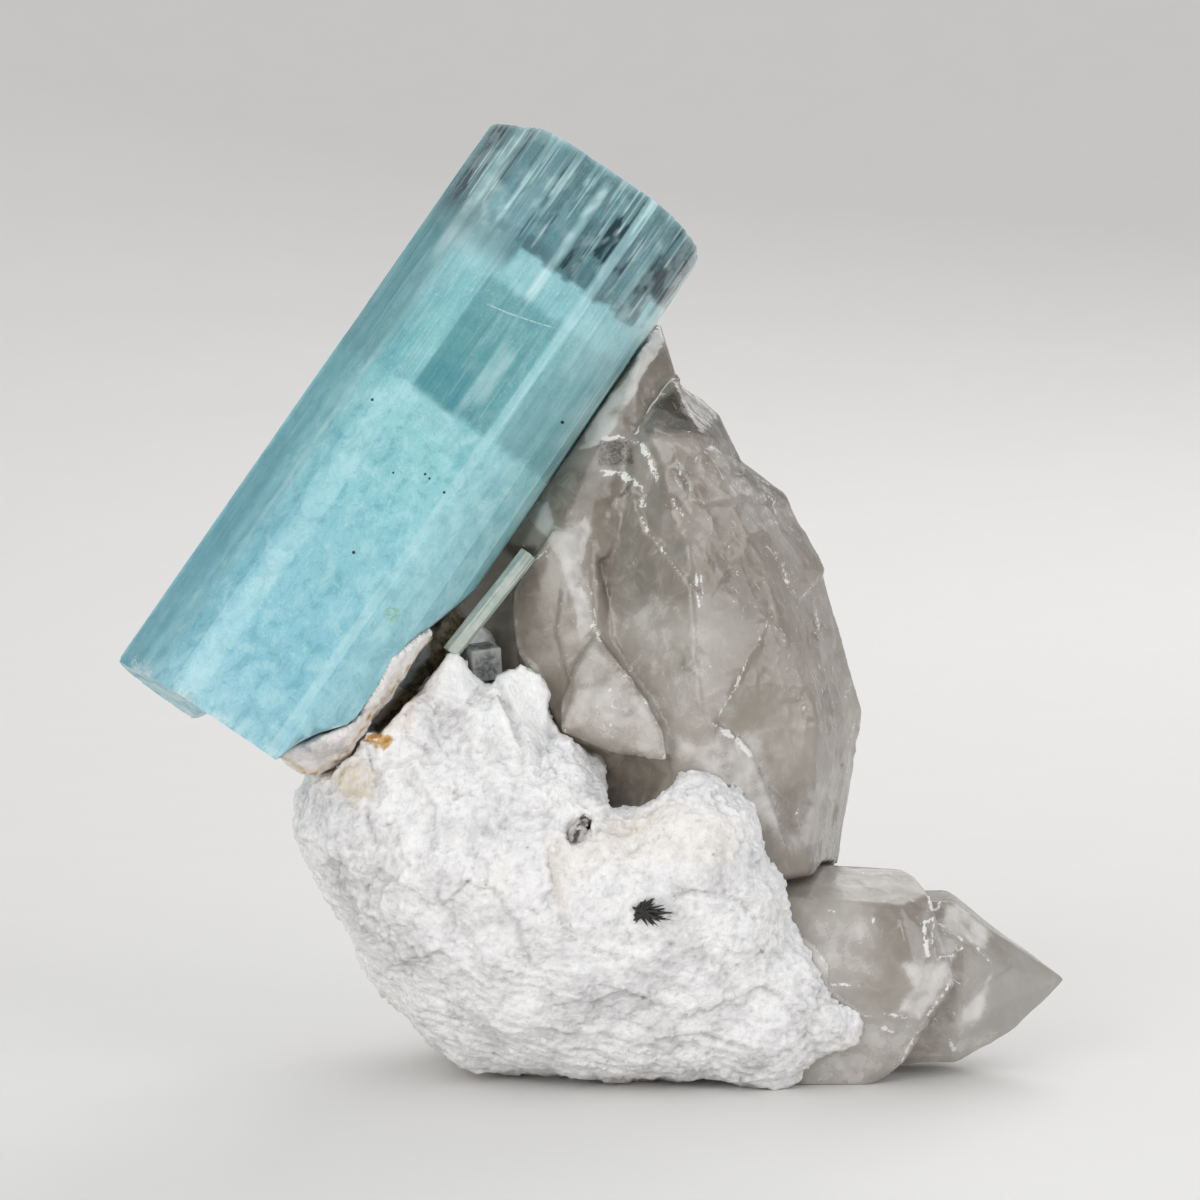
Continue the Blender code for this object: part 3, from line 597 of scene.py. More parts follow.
def hairlines(u, v, count, low, high, longest, seed):
    """Thin lines up the prism at scattered places, each with its own length and strength."""
    rng = np.random.RandomState(seed)
    field = np.zeros(len(u))
    for _ in range(count):
        middle, width = rng.uniform(1.0, 250.0), rng.uniform(0.5, 1.0)
        length = longest * rng.uniform(0.35, 1.0)
        start = rng.uniform(low - 0.2 * length, high - 0.5 * length)
        strength = rng.uniform(0.25, 1.0)
        close = np.abs(u - middle) < 3.0 * width
        there = v[close]
        along = step(max(start, low), max(start, low) + 9.0, there)
        along *= step(start + length, start + 0.6 * length, there)
        across = np.exp(-((u[close] - middle) / width) ** 2)
        field[close] = np.maximum(field[close], strength * across * along)
    return field


def dress_aquamarine(mesh, local, sides):
    """Marks of the prism: where it is clear, cloudy, streaked dark or light, and flecked, with
    painted shade on its left facet and painted highlights and light on facets to the right.
    """
    points = local @ beryl_placing().T + np.array(BERYL_FOOT)
    u, v = prism_view(points)
    front = step(2.0, -1.0, local[:, 1])
    wander = Noise(21)
    uneven = wander(np.stack([u / 14.0, v / 22.0, local[:, 1] / 9.0], 1), 3)
    thin = wander(np.stack([u / 1.7, v / 95.0, local[:, 1] / 2.0], 1), 2)
    wide = wander(np.stack([u / 6.0, v / 150.0, local[:, 1] / 5.0], 1), 2)
    edge = v + 3.5 * wander(np.stack([u / 16.0, v / 60.0, local[:, 1] / 12.0], 1), 2)

    def total(patches, height):
        field = np.zeros(len(u))
        for u0, u1, v0, v1, soft_u, soft_v, amount in patches:
            field += amount * patch(u, height, u0, u1, v0, v1, soft_u, soft_v)
        return field

    # Round the back the streaks go on, in places of their own.
    behind_clear = 0.85 * step(566.0, 574.0, edge) + 0.3 * patch(u, edge, -50, 300, 398, 530, 2, 6)
    behind_dark = step(0.05, 0.5, wide) * (0.6 * step(566, 574, edge) + 0.35 * step(395, 402, edge))
    behind_light = step(0.25, 0.6, -wide) * step(392, 402, edge) * 0.5
    clear = total(BERYL_CLEAR, edge) * front + behind_clear * (1 - front)
    marks = {"dark": total(BERYL_DARK_STREAKS_AND_SHADE, edge) * front + behind_dark * (1 - front),
             "light": total(BERYL_LIGHT_STREAKS_AND_PAINTED_LIGHT, edge) * front + behind_light * (1 - front)}

    streaky = step(360.0, 575.0, v)
    marks["dark"] *= 1.0 + (0.45 * thin + 0.3 * uneven) * (0.35 + 0.65 * streaky)
    marks["light"] *= 1.0 + 0.45 * uneven + 0.25 * thin
    marks["light"] += 0.26 * step(0.0, 0.5, uneven) * step(566.0, 574.0, edge)
    for kind, count, low, high, longest, strength, seed in BERYL_HAIRLINES:
        marks[kind] += strength * hairlines(u, edge, count, low, high, longest, seed)
    marks["dark"] += 0.45 * step(0.0, 0.5, wide) * step(572.0, 580.0, edge)
    # The ends have no streaks, only clouds.
    end_clouds = wander(local[sides:] / 3.2, 3)
    marks["dark"][sides:] = 0.30 * step(0.0, 0.6, -end_clouds)
    marks["light"][sides:] = 0.20 + 0.40 * step(0.0, 0.5, end_clouds)
    away = v - np.interp(u, *zip(*BERYL_FRACTURE))
    ends = step(95.0, 102.0, u) * step(174.0, 160.0, u) * front
    foot_rim = step(30.0, 2.0, v + 9.0 * uneven) * step(-14.5, -12.0, -np.abs(local[:, 1]))
    rim = np.exp(-((BERYL_LENGTH - local[:, 2]) / 0.45) ** 2)
    broken = step(0.9, 0.2, local[:, 2] - foot_height(local[:, 0], local[:, 1]))
    light = marks["light"] + 0.4 * broken * step(0.1, 0.6, uneven + 0.2)
    flecked = np.maximum(foot_rim, broken) * step(-0.1, 0.4, uneven)
    set_values(mesh, clear=clear * (1 - 0.5 * light) * (1 - 0.5 * rim), dark=marks["dark"],
               light=light + 0.35 * rim, clouded=step(*BERYL_CLOUD_LEVEL, edge),
               height=(v + 10.0) / 730.0, fracture=0.5 + np.clip(away, -20.0, 20.0) / 40.0,
               fractured=ends, flecked=flecked)
    set_vectors(mesh, prism=local, view=np.stack([u, v, 40.0 * (1.0 - front)], 1))
    return points


def aquamarine_material():
    s = Shader("aquamarine")
    prism, view, height = s.vector("prism"), s.vector("view"), s.value("height")
    clear, dark, light = s.value("clear"), s.value("dark"), s.value("light")
    clouded = s.value("clouded")
    threads = s.noise(s.stretched(prism, (5.5, 5.5, 0.07)), 1.0, 3.0, 0.6)
    clouds = s.noise(prism, 0.15, 3.0, 0.6, 0.4)
    mottles = s.noise(s.stretched(prism, (1.0, 1.0, 0.75)), 0.52, 5.0, 0.62, 0.5)
    flecks = s.noise(prism, 2.4, 3.0, 0.65, 0.3)
    grit = s.noise(s.stretched(prism, (1.0, 1.0, 0.6)), 5.5, 3.0, 0.7)

    pale = s.times(s.spread(mottles, 0.50, 0.64), s.spread(clouded, 0, 1, 0.50, 0.24))
    deep = s.times(s.spread(mottles, 0.48, 0.36), s.spread(clouded, 0, 1, 0.44, 0.30))
    lines = s.times(s.spread(threads, 0.52, 0.68), s.spread(clouded, 0, 1, 0.0, 0.28))
    crack = s.spread(s.math("ABSOLUTE", s.math("ADD", s.value("fracture"), -0.5)), 0.026, 0.008)
    crack = s.times(s.times(crack, s.spread(flecks, 0.36, 0.56, 0.8, 0.1)), s.value("fractured"))
    place, size = BERYL_GREEN_FLECK
    green = s.times(s.spot(view, (*place, 0.0), size * 2.6), s.spread(flecks, 0.42, 0.52, 0.6))
    body = s.painted(
        s.ramp(height, BERYL_BODY),
        (s.spread(clouds, 0.42, 0.70, 0.50), srgb(118, 178, 192)),
        (pale, srgb(188, 224, 230)),
        (deep, srgb(92, 160, 174)),
        (s.spread(flecks, 0.60, 0.72, 0.42), srgb(212, 236, 240)),
        (s.spread(flecks, 0.42, 0.30, 0.30), srgb(78, 146, 160)),
        (s.spread(grit, 0.52, 0.72, 0.24), srgb(206, 232, 236)),
        (s.spread(grit, 0.48, 0.28, 0.20), srgb(80, 146, 158)),
        (lines, srgb(80, 122, 130)),
        # Dark streaks, with painted shade on the left facet.
        (dark, s.ramp(height, BERYL_STREAK_AND_SHADE_COLOURS)),
        # Light streaks, with painted highlights on the narrow bright facets and painted light on
        # the right facets.
        (s.times(light, 0.9), srgb(216, 238, 240)),
        (crack, srgb(222, 240, 240)),
        (s.times(s.value("flecked"), s.spread(flecks, 0.48, 0.58)), srgb(228, 220, 220)),
        *((s.spot(view, (*place, 0.0), size), srgb(16, 26, 24)) for place, size in BERYL_SPECKS),
        (green, srgb(138, 176, 116)))
    body = s.mix(1.0, body, (0.90, 1.0, 1.0, 1.0), "MULTIPLY")
    see_through = s.times(s.math("MULTIPLY_ADD", clear, 0.72, 0.06),
                          s.spread(dark, 0.1, 0.9, 0.30, 1.0))
    s.absorb((0.35, 0.76, 0.80, 1.0), 20.0)
    return s.finish(
        Base_Color=body, Roughness=s.spread(clouded, 0, 1, 0.36, 0.10), IOR=1.58,
        Normal=s.bump(s.times(threads, s.spread(clouded, 1, 0)), 0.00006, 0.5),
        Transmission_Weight=see_through)


def aquamarine():
    mesh, local, sides = aquamarine_mesh()
    points = dress_aquamarine(mesh, local, sides)
    set_points(mesh, points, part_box("aquamarine_crystal"))
    smooth_shaded(mesh, 38)
    mesh.materials.append(aquamarine_material())
    add_piece("aquamarine", mesh, "aquamarine_crystal")


# ---------------------------------------------------------------- quartz

# Outlines and lines are in points of the front view. Steps: line, height in mm, reach.
QUARTZ_STEPS = [
    ([(590, 600), (592, 625), (605, 645), (620, 672), (640, 690), (655, 715), (667, 740),
      (673, 772)], 0.32, 26),
    ([(537, 562), (515, 585), (511, 605), (517, 650), (535, 668), (553, 702)], -0.35, 22),
    ([(636, 500), (645, 530), (657, 540), (670, 560), (690, 582)], -0.40, 16),
    ([(640, 497), (675, 497), (688, 520), (660, 545)], -0.30, 14),
    ([(766, 540), (778, 560), (790, 592), (797, 600), (812, 585), (823, 573)], 0.45, 20),
    ([(672, 380), (636, 435)], 0.35, 14),
    ([(655, 432), (700, 438), (730, 458), (752, 472)], 0.45, 22),
    ([(677, 462), (688, 490), (702, 505), (745, 500), (775, 505)], 0.35, 16),
    ([(560, 600), (556, 630), (564, 660), (572, 690), (566, 712)], 0.35, 14),
    ([(720, 722), (735, 680), (748, 662), (760, 640)], 0.35, 18),
    ([(722, 728), (740, 738), (753, 752), (768, 790), (783, 836)], -0.40, 18),
    ([(640, 440), (654, 464), (640, 500)], -0.30, 12),
]
# Veins and cracks: line, half width, amount.
QUARTZ_VEINS = [
    ([(598, 440), (622, 438), (640, 445), (651, 462), (655, 482)], 5.0, 0.75),
    ([(604, 472), (624, 475), (638, 486), (643, 503)], 5.0, 0.80),
    ([(672, 380), (655, 406), (636, 435)], 1.6, 0.95), ([(663, 346), (655, 356)], 1.2, 0.8),
    ([(712, 420), (717, 432), (722, 446)], 4.0, 0.45), ([(676, 462), (684, 480), (690, 497),
     (702, 505)], 2.0, 0.55), ([(638, 503), (644, 528), (656, 541), (668, 556)], 1.5, 0.75),
    ([(672, 498), (678, 508), (684, 519)], 1.4, 0.65), ([(697, 572), (696, 590), (700, 606)], 1.5,
     0.80), ([(700, 572), (703, 590), (701, 606)], 1.3, 0.6),
    ([(766, 545), (778, 560), (790, 592), (798, 600), (812, 586), (823, 575)], 1.6, 0.55),
    ([(774, 522), (800, 541)], 1.4, 0.5), ([(750, 498), (770, 500), (776, 512)], 4.0, 0.55),
    ([(690, 612), (694, 624), (688, 640)], 2.2, 0.5), ([(758, 640), (770, 618)], 2.6, 0.6),
    ([(764, 638), (774, 622)], 1.6, 0.5), ([(742, 668), (735, 690), (724, 703), (721, 716)], 2.2,
     0.75), ([(724, 731), (738, 741), (752, 753)], 5.0, 0.95),
    ([(590, 612), (593, 628), (600, 640)], 3.0, 0.65), ([(622, 678), (632, 668), (641, 656)], 2.4,
     0.60), ([(620, 672), (640, 692), (655, 718), (666, 742), (671, 765)], 1.4, 0.55),
    ([(595, 655), (597, 700), (595, 737)], 1.8, 0.50), ([(610, 690), (613, 715), (614, 738)], 4.0,
     0.55), ([(815, 610), (818, 630)], 2.2, 0.6), ([(820, 655), (819, 668)], 2.6, 0.5),
    ([(853, 680), (844, 697)], 1.6, 0.65), ([(860, 706), (848, 742)], 1.6, 0.5),
    ([(804, 716), (803, 732)], 2.6, 0.5), ([(592, 565), (598, 588)], 1.6, 0.6),
    ([(783, 838), (782, 850)], 2.2, 0.6), ([(800, 800), (799, 812), (792, 822)], 2.0, 0.45),
    ([(729, 598), (736, 603)], 3.2, 0.55), ([(538, 545), (545, 552), (551, 562)], 2.0, 0.5),
    ([(700, 438), (728, 455), (755, 474), (785, 496)], 1.0, 0.4),
    ([(640, 700), (655, 730), (660, 752)], 6.0, 0.30), ([(706, 661), (710, 667)], 3.2, 0.45),
    ([(556, 660), (562, 672), (563, 690)], 3.0, 0.35),
]
# Milky, brown and whitish areas: outline, softness, amount. Two of the brown areas are partly
# painted shade: the flank in shadow beside the prism and the recess above the lump.
QUARTZ_MILK = [
    ([(652, 330), (664, 340), (662, 350), (640, 372), (636, 388), (620, 412), (618, 424),
      (600, 441), (578, 450), (600, 412), (625, 375)], 2.5, 0.85),
    ([(535, 505), (546, 500), (553, 524), (563, 530), (577, 527), (585, 516), (593, 531),
      (586, 545), (583, 570), (588, 600), (592, 628), (580, 640), (572, 602), (565, 574),
      (552, 548), (545, 536), (531, 522)], 3.0, 0.62),
    ([(676, 738), (760, 735), (768, 770), (790, 850), (740, 800), (690, 770)], 14.0, 0.55),
    ([(592, 640), (622, 676), (655, 716), (670, 765), (650, 752), (600, 740), (566, 716)], 8.0,
     0.38),
    ([(800, 790), (842, 760), (842, 850), (790, 845)], 9.0, 0.35),
    ([(690, 440), (740, 462), (780, 500), (770, 540), (740, 520), (690, 480)], 16.0, 0.22),
    ([(630, 600), (720, 600), (720, 740), (680, 740), (640, 680)], 30.0, 0.28),
]
QUARTZ_BROWN_AND_SHADE = [
    # Partly painted shade: the quartz flank in shadow beside the prism, and the recess above the
    # lump, darkened brown.
    ([(462, 606), (500, 560), (520, 535), (536, 545), (518, 600), (500, 665), (440, 668)], 5.0,
     0.35), ([(600, 806), (603, 770), (622, 752), (640, 752), (668, 775), (650, 806)], 4.0, 0.75),
    ([(555, 470), (634, 466), (640, 500), (600, 512), (562, 530), (545, 505)], 6.0, 0.62),
    ([(597, 440), (633, 442), (634, 466), (598, 470)], 2.5, 0.70),
    ([(590, 500), (636, 500), (670, 560), (700, 590), (690, 610), (620, 620), (592, 600)], 18.0,
     0.58), ([(760, 770), (782, 790), (820, 775), (812, 820), (783, 838)], 7.0, 0.40),
    ([(620, 420), (638, 380), (674, 380), (636, 436)], 4.0, 0.55),
    ([(640, 436), (674, 384), (722, 416), (730, 445), (700, 440)], 5.0, 1.0),
    ([(650, 330), (690, 376), (672, 384), (640, 380)], 5.0, 0.55),
    ([(725, 440), (760, 462), (790, 500), (770, 510), (735, 480)], 7.0, 0.95),
    ([(650, 440), (700, 450), (740, 500), (780, 560), (800, 640), (760, 660), (700, 600),
      (660, 520)], 22.0, 0.35),
    ([(511, 562), (540, 562), (545, 600), (552, 650), (520, 650)], 8.0, 0.50),
]
QUARTZ_SHARDS = [
    ([(672, 455), (745, 462), (800, 520), (835, 600), (850, 690), (842, 760), (800, 720),
      (770, 660), (738, 600), (700, 560), (660, 500)], 16.0, 0.85),
    ([(640, 380), (700, 376), (735, 430), (760, 470), (690, 460), (636, 440)], 6.0, 0.55),
    ([(560, 500), (596, 520), (590, 600), (640, 660), (672, 770), (600, 745), (556, 700)], 8.0,
     0.50),
    ([(690, 740), (760, 740), (800, 830), (760, 820)], 12.0, 0.25),
]
QUARTZ_DUST = [([(597, 440), (630, 440), (634, 464), (598, 466)], 2.0, 1.0)]


def lines_on(x, y, lines, grain):
    """Strength of veins, each broken up a little along its length."""
    field = np.zeros(len(x))
    for line, half_width, amount in lines:
        away, _ = to_line(x, y, line)
        width = (0.75 * half_width + 1.0) * (1.0 + 0.35 * grain)
        here = amount * np.exp(-(away / width) ** 2) * np.clip(1.0 + 0.55 * grain, 0.2, 1.5)
        field = np.maximum(field, here)
    return field


def steps_on(x, y, steps):
    """Relief of ledges: raised on the left of each line's way, sinking back over its reach."""
    field = np.zeros(len(x))
    for line, height, reach in steps:
        away, side = to_line(x, y, line)
        face = step(-1.6, 1.6, away * side)
        field += height * face * np.exp(-(away / reach) ** 2)
    return field


def areas_on(x, y, areas):
    field = np.zeros(len(x))
    for outline, softness, amount in areas:
        field = np.maximum(field, amount * within(x, y, outline, softness))
    return field


def facing_front(normals, low=0.05, high=0.35):
    view = np.array([0.0, math.cos(CAMERA_PITCH), -math.sin(CAMERA_PITCH)])
    return step(low, high, -(normals @ view))


def dress_quartz(mesh, node, seed, steps, veins, milk, brown, shards, dust, roughness):
    points, normals = points_of(mesh), normals_of(mesh)
    grain, broad = Noise(seed), Noise(seed + 1)
    points = relaxed(mesh, points, np.full(len(points), 0.5), 2)
    near, _ = grain.cells(points / 5.5 + 0.25 * broad(points / 4.0)[:, None])
    scallop = (near ** 2 - 0.35) * 0.5
    relief = 0.18 * broad(points / 9.0, 2) + roughness * (0.26 * scallop + 0.03 * grain(points, 3))
    chipped = step(0.15, 0.6, broad(points / 6.0 + 40.0))
    _, plane = broad.cells(points / 2.6)
    relief += roughness * chipped * (0.10 * grain(points / 1.6, 3) + 0.34 * plane)
    points = points + normals * relief[:, None]
    x, y = seen_at(points)
    front = facing_front(normals)
    warp = 3.0 * grain(points / 3.5, 2)
    lines = lines_on(x + warp * 0.5, y - warp * 0.5, veins, grain(points / 0.9, 2)) * front
    ledges = steps_on(x + warp * 0.6, y + warp * 0.6, steps) * front
    points = points + normals * (ledges + 0.03 * lines)[:, None]
    # Worn edges: where the surface stands out from its own surroundings.
    flat = relaxed(mesh, points, np.full(len(points), 0.6), 4)
    stands = ((points - flat) * normals).sum(1)
    worn = step(0.035, 0.13, stands) * step(-0.25, 0.35, grain(points / 2.2, 2))
    points = points - normals * (0.5 * worn * stands)[:, None]
    set_points(mesh, points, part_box(node), 0.25)

    back = 1.0 - front
    wisps = step(0.30, 0.62, broad(points / 5.0, 4)) * 0.5
    cracks = grain.ridges(points / 7.5 + 0.5 * broad(points / 5.0)[:, None], 2)
    cracks = step(0.93, 0.995, cracks) * step(-0.1, 0.5, grain(points / 6.0))
    flakes = step(0.80, 0.97, grain.ridges(points / 2.2, 3)) * chipped
    milky = areas_on(x + warp, y + warp, milk) * front * (1.0 + 0.6 * broad(points / 2.5 + 60.0, 3))
    # Smoky brown areas, some of them painted shade.
    smoky = areas_on(x + warp, y + warp, brown) * facing_front(normals, -0.5, -0.1)
    shattered = areas_on(x + 2 * warp, y + 2 * warp, shards) * front
    set_values(
        mesh, vein=lines + 0.5 * cracks * (0.2 + 0.8 * back) + 0.42 * flakes, edge=worn,
        # hollow is painted shade: darker where the surface lies sunk below its surroundings.
        hollow=step(0.03, 0.14, -stands), milk=milky + wisps * (0.25 + 0.5 * back),
        smoke=smoky + back * 0.6 * step(0.0, 0.6, -broad(points / 12.0, 2)),
        dust=areas_on(x, y, dust) * front,
        shards=np.maximum(shattered, 0.7 * chipped * (0.3 + 0.7 * back)))
    smooth_shaded(mesh)


def quartz_material(name, dull, pale, cast):
    s = Shader(name)
    place, milk, smoke, shards = s.place(), s.value("milk"), s.value("smoke"), s.value("shards")
    clouds = s.noise(place, 60.0, 3.0, 0.6, 0.5)
    wisps = s.noise(place, 330.0, 5.0, 0.68, 0.9)
    fine = s.noise(place, 2600.0, 4.0, 0.7, 0.4)
    threads = s.noise(s.stretched(place, (1300.0, 1300.0, 260.0)), 1.0, 3.0, 0.7, 1.2)
    leaning, against = s.turned(place, 0.75), s.turned(place, -0.6)
    strokes = s.noise(s.stretched(leaning, (1500.0, 900.0, 300.0)), 1.0, 4.0, 0.72, 1.6)
    crossing = s.noise(s.stretched(against, (1900.0, 900.0, 420.0)), 1.0, 4.0, 0.7, 1.6)
    splinters = s.cells(s.stretched(s.bent(leaning, 210.0, 0.007), (1.5, 1.0, 0.8)), 210.0)
    tone = s.times(s.math("ADD", splinters["Color"], -0.5), shards)
    hazy = s.times(s.ragged(milk, wisps, -0.15, 1.05, 0.75), s.spread(fine, 0.30, 0.66, 1.0, 0.78))

    # White where it is bruised: in short strokes, on worn edges and along the veins.
    seams = s.math("MAXIMUM", s.spread(strokes, 0.63, 0.70), s.spread(crossing, 0.65, 0.71))
    seams = s.times(seams, s.spread(shards, 0.0, 0.9, 0.75, 0.10))
    core = s.times(s.ragged(s.value("vein"), fine, 0.58, 0.74, 1.5), 0.85)
    chips = s.times(s.ragged(s.value("edge"), fine, 0.62, 0.85, 1.3), 0.55)
    light = s.math("MAXIMUM", s.math("MAXIMUM", core, chips), seams)
    dusty = s.times(s.ragged(s.value("dust"), wisps, 0.3, 0.9, 0.9),
                    s.spread(fine, 0.46, 0.56, 0.8, 0.1))
    body = s.painted(
        s.mix(s.spread(clouds, 0.36, 0.66), dull, pale),
        # Smoky brown, in places painted shade.
        (s.times(smoke, s.spread(wisps, 0.34, 0.62, 0.8, 1.1)), cast),
        (s.spread(smoke, 0.78, 1.0, 0.85), srgb(72, 65, 56)),
        (s.spread(wisps, 0.52, 0.70, 0.24), srgb(208, 203, 196)),
        (s.spread(tone, 0.05, 0.30, 0.30), srgb(214, 211, 205)),
        (s.spread(tone, -0.05, -0.30, 0.34), srgb(112, 103, 92)),
        (hazy, srgb(220, 218, 215)),
        (s.spread(threads, 0.67, 0.72, 0.50), srgb(228, 225, 220)),
        # Painted shade in the hollows.
        (s.times(s.value("hollow"), 0.12), srgb(104, 94, 82)),
        (s.spread(s.value("vein"), 0.05, 0.95, 0.45), srgb(212, 209, 204)),
        (light, srgb(238, 236, 232)),
        (dusty, srgb(84, 79, 74)))
    hidden = s.math("MAXIMUM", light, hazy)
    normal = s.bump(splinters["Distance"], 0.0007, s.times(shards, 0.5))
    s.absorb((0.52, 0.44, 0.34, 1.0), 24.0)
    return s.finish(
        Base_Color=body, Roughness=s.spread(hidden, 0.0, 1.0, 0.5, 0.20), IOR=1.544,
        Normal=s.bump(wisps, 0.00018, 0.35, normal),
        Transmission_Weight=s.spread(hidden, 0.0, 0.9, 0.05, 0.40))


def smoky_quartz():
    mesh = remeshed("smoky_quartz", 0.39)
    dress_quartz(mesh, "smoky_quartz", 31, QUARTZ_STEPS, QUARTZ_VEINS, QUARTZ_MILK,
                 QUARTZ_BROWN_AND_SHADE, QUARTZ_SHARDS, QUARTZ_DUST, 1.0)
    mesh.materials.append(quartz_material(
        "smoky quartz", srgb(168, 159, 147), srgb(190, 184, 174), srgb(120, 109, 94)))
    add_piece("smoky_quartz_crystal", mesh, "smoky_quartz")


POINT_STEPS = [
    ([(928, 895), (925, 940), (935, 962), (952, 980), (938, 1000), (922, 1020), (900, 1063)],
     0.24, 20),
    ([(900, 1015), (862, 1013), (845, 1000)], 0.45, 20),
    ([(829, 982), (830, 968), (815, 945), (780, 925)], 0.35, 16),
    ([(1000, 975), (985, 985), (962, 1005), (955, 1040)], -0.25, 14),
]
POINT_VEINS = [
    ([(927, 895), (930, 911), (937, 911), (940, 896)], 1.3, 0.95),
    ([(925, 922), (925, 940), (928, 957)], 2.0, 0.95), ([(933, 921), (930, 945)], 1.2, 0.7),
    ([(925, 922), (932, 919)], 1.6, 0.8), ([(938, 958), (952, 956), (962, 948), (960, 938)], 1.2,
     0.7), ([(812, 900), (840, 898), (862, 905), (905, 896)], 0.8, 0.4),
    ([(932, 921), (950, 930), (962, 940)], 1.5, 0.7), ([(874, 916), (874, 922)], 1.6, 0.9),
    ([(826, 910), (838, 911)], 1.8, 0.7), ([(780, 920), (790, 935), (812, 947), (826, 962),
     (828, 980)], 1.6, 0.65), ([(833, 984), (850, 985), (860, 985)], 1.5, 0.7),
    ([(800, 985), (815, 972), (832, 995)], 1.3, 0.7), ([(862, 1014), (900, 1015)], 1.6, 0.6),
    ([(880, 1025), (893, 1030)], 3.2, 0.8), ([(946, 905), (945, 925)], 2.5, 0.55),
    ([(978, 948), (990, 960)], 1.6, 0.6), ([(950, 1042), (954, 1052)], 3.5, 0.9),
    ([(952, 980), (938, 1000), (922, 1020), (905, 1052), (900, 1063)], 1.8, 0.6),
    ([(928, 940), (936, 962), (951, 976)], 1.6, 0.6), ([(842, 890), (856, 893)], 1.8, 0.5),
    ([(842, 872), (907, 875), (920, 881), (938, 895)], 1.0, 0.5),
]
POINT_MILK = [
    ([(780, 925), (815, 945), (829, 968), (827, 985), (800, 975), (780, 955)], 3.0, 0.62),
    ([(945, 906), (962, 904), (990, 935), (985, 948), (958, 940), (944, 930)], 6.0, 0.70),
    ([(905, 968), (950, 958), (952, 982), (938, 1000), (918, 1018), (898, 1010), (912, 985)], 6.0,
     0.75), ([(962, 1005), (992, 976), (985, 1010), (965, 1035), (955, 1040)], 8.0, 0.70),
    ([(936, 935), (948, 934), (960, 944), (952, 955), (938, 954)], 4.0, 0.45),
    ([(860, 1018), (900, 1020), (918, 1018), (900, 1062), (860, 1082), (800, 1088)], 8.0, 0.35),
    ([(800, 905), (870, 905), (880, 980), (830, 985)], 16.0, 0.32),
    ([(960, 1040), (1000, 1030), (985, 1048), (950, 1056)], 5.0, 0.4),
]
POINT_SHARDS = [
    ([(905, 895), (965, 900), (990, 940), (960, 1010), (900, 1070), (880, 1020), (930, 960)], 8.0,
     0.80), ([(780, 920), (830, 960), (850, 1020), (810, 1080), (770, 1000)], 8.0, 0.55),
    ([(960, 900), (1062, 978), (1000, 1050), (950, 1050)], 10.0, 0.30),
]
POINT_BROWN = [
    ([(840, 880), (925, 885), (925, 960), (890, 975), (880, 920)], 12.0, 0.45),
    ([(786, 870), (930, 870), (925, 884), (790, 884)], 4.0, 0.45),
    ([(940, 960), (965, 950), (958, 1000), (930, 1060), (905, 1058)], 7.0, 0.60),
]


def quartz_point():
    mesh = remeshed("quartz_point", 0.285)
    dress_quartz(mesh, "quartz_point", 41, POINT_STEPS, POINT_VEINS, POINT_MILK, POINT_BROWN,
                 POINT_SHARDS, [], 0.4)
    mesh.materials.append(quartz_material(
        "quartz point", srgb(176, 169, 159), srgb(202, 198, 191), srgb(134, 124, 111)))
    add_piece("quartz_point_crystal", mesh, "quartz_point")


# ---------------------------------------------------------------- albite

LUMP_STEPS = [
    ([(503, 692), (512, 712), (520, 740), (524, 762)], 0.55, 16),
    ([(548, 845), (556, 880), (562, 905), (570, 930)], 0.45, 14),
    ([(438, 700), (460, 712), (476, 690)], 0.45, 12),
    ([(543, 760), (545, 745), (556, 738)], -0.5, 14),
    ([(372, 880), (378, 850), (366, 820), (372, 790)], 0.5, 26),
    ([(460, 790), (512, 780), (540, 800)], 0.30, 18),
    ([(500, 895), (520, 925), (528, 950)], 0.45, 14),
    ([(640, 900), (700, 890), (760, 905)], 0.25, 24),
    ([(690, 1010), (760, 985), (790, 1000), (830, 1030)], 0.40, 18),
    ([(780, 955), (812, 985), (850, 1005)], 0.35, 14),
    ([(400, 760), (430, 750), (455, 770)], 0.30, 12),
    ([(345, 880), (380, 868), (412, 890)], 0.32, 14),
    ([(575, 872), (610, 860), (642, 872)], 0.28, 12),
    ([(600, 950), (650, 962), (692, 950)], 0.30, 14),
    ([(436, 900), (470, 880), (500, 890)], 0.30, 12),
    ([(560, 1002), (620, 990), (682, 1010)], 0.35, 14),
    ([(398, 962), (440, 948), (472, 975)], 0.32, 12),
    ([(700, 858), (732, 880), (750, 912)], 0.30, 14),
    ([(650, 1042), (700, 1030), (752, 1046)], 0.32, 12),
    ([(470, 740), (492, 760), (498, 800)], 0.32, 10),
    ([(420, 780), (440, 810), (436, 850)], 0.30, 12),
]
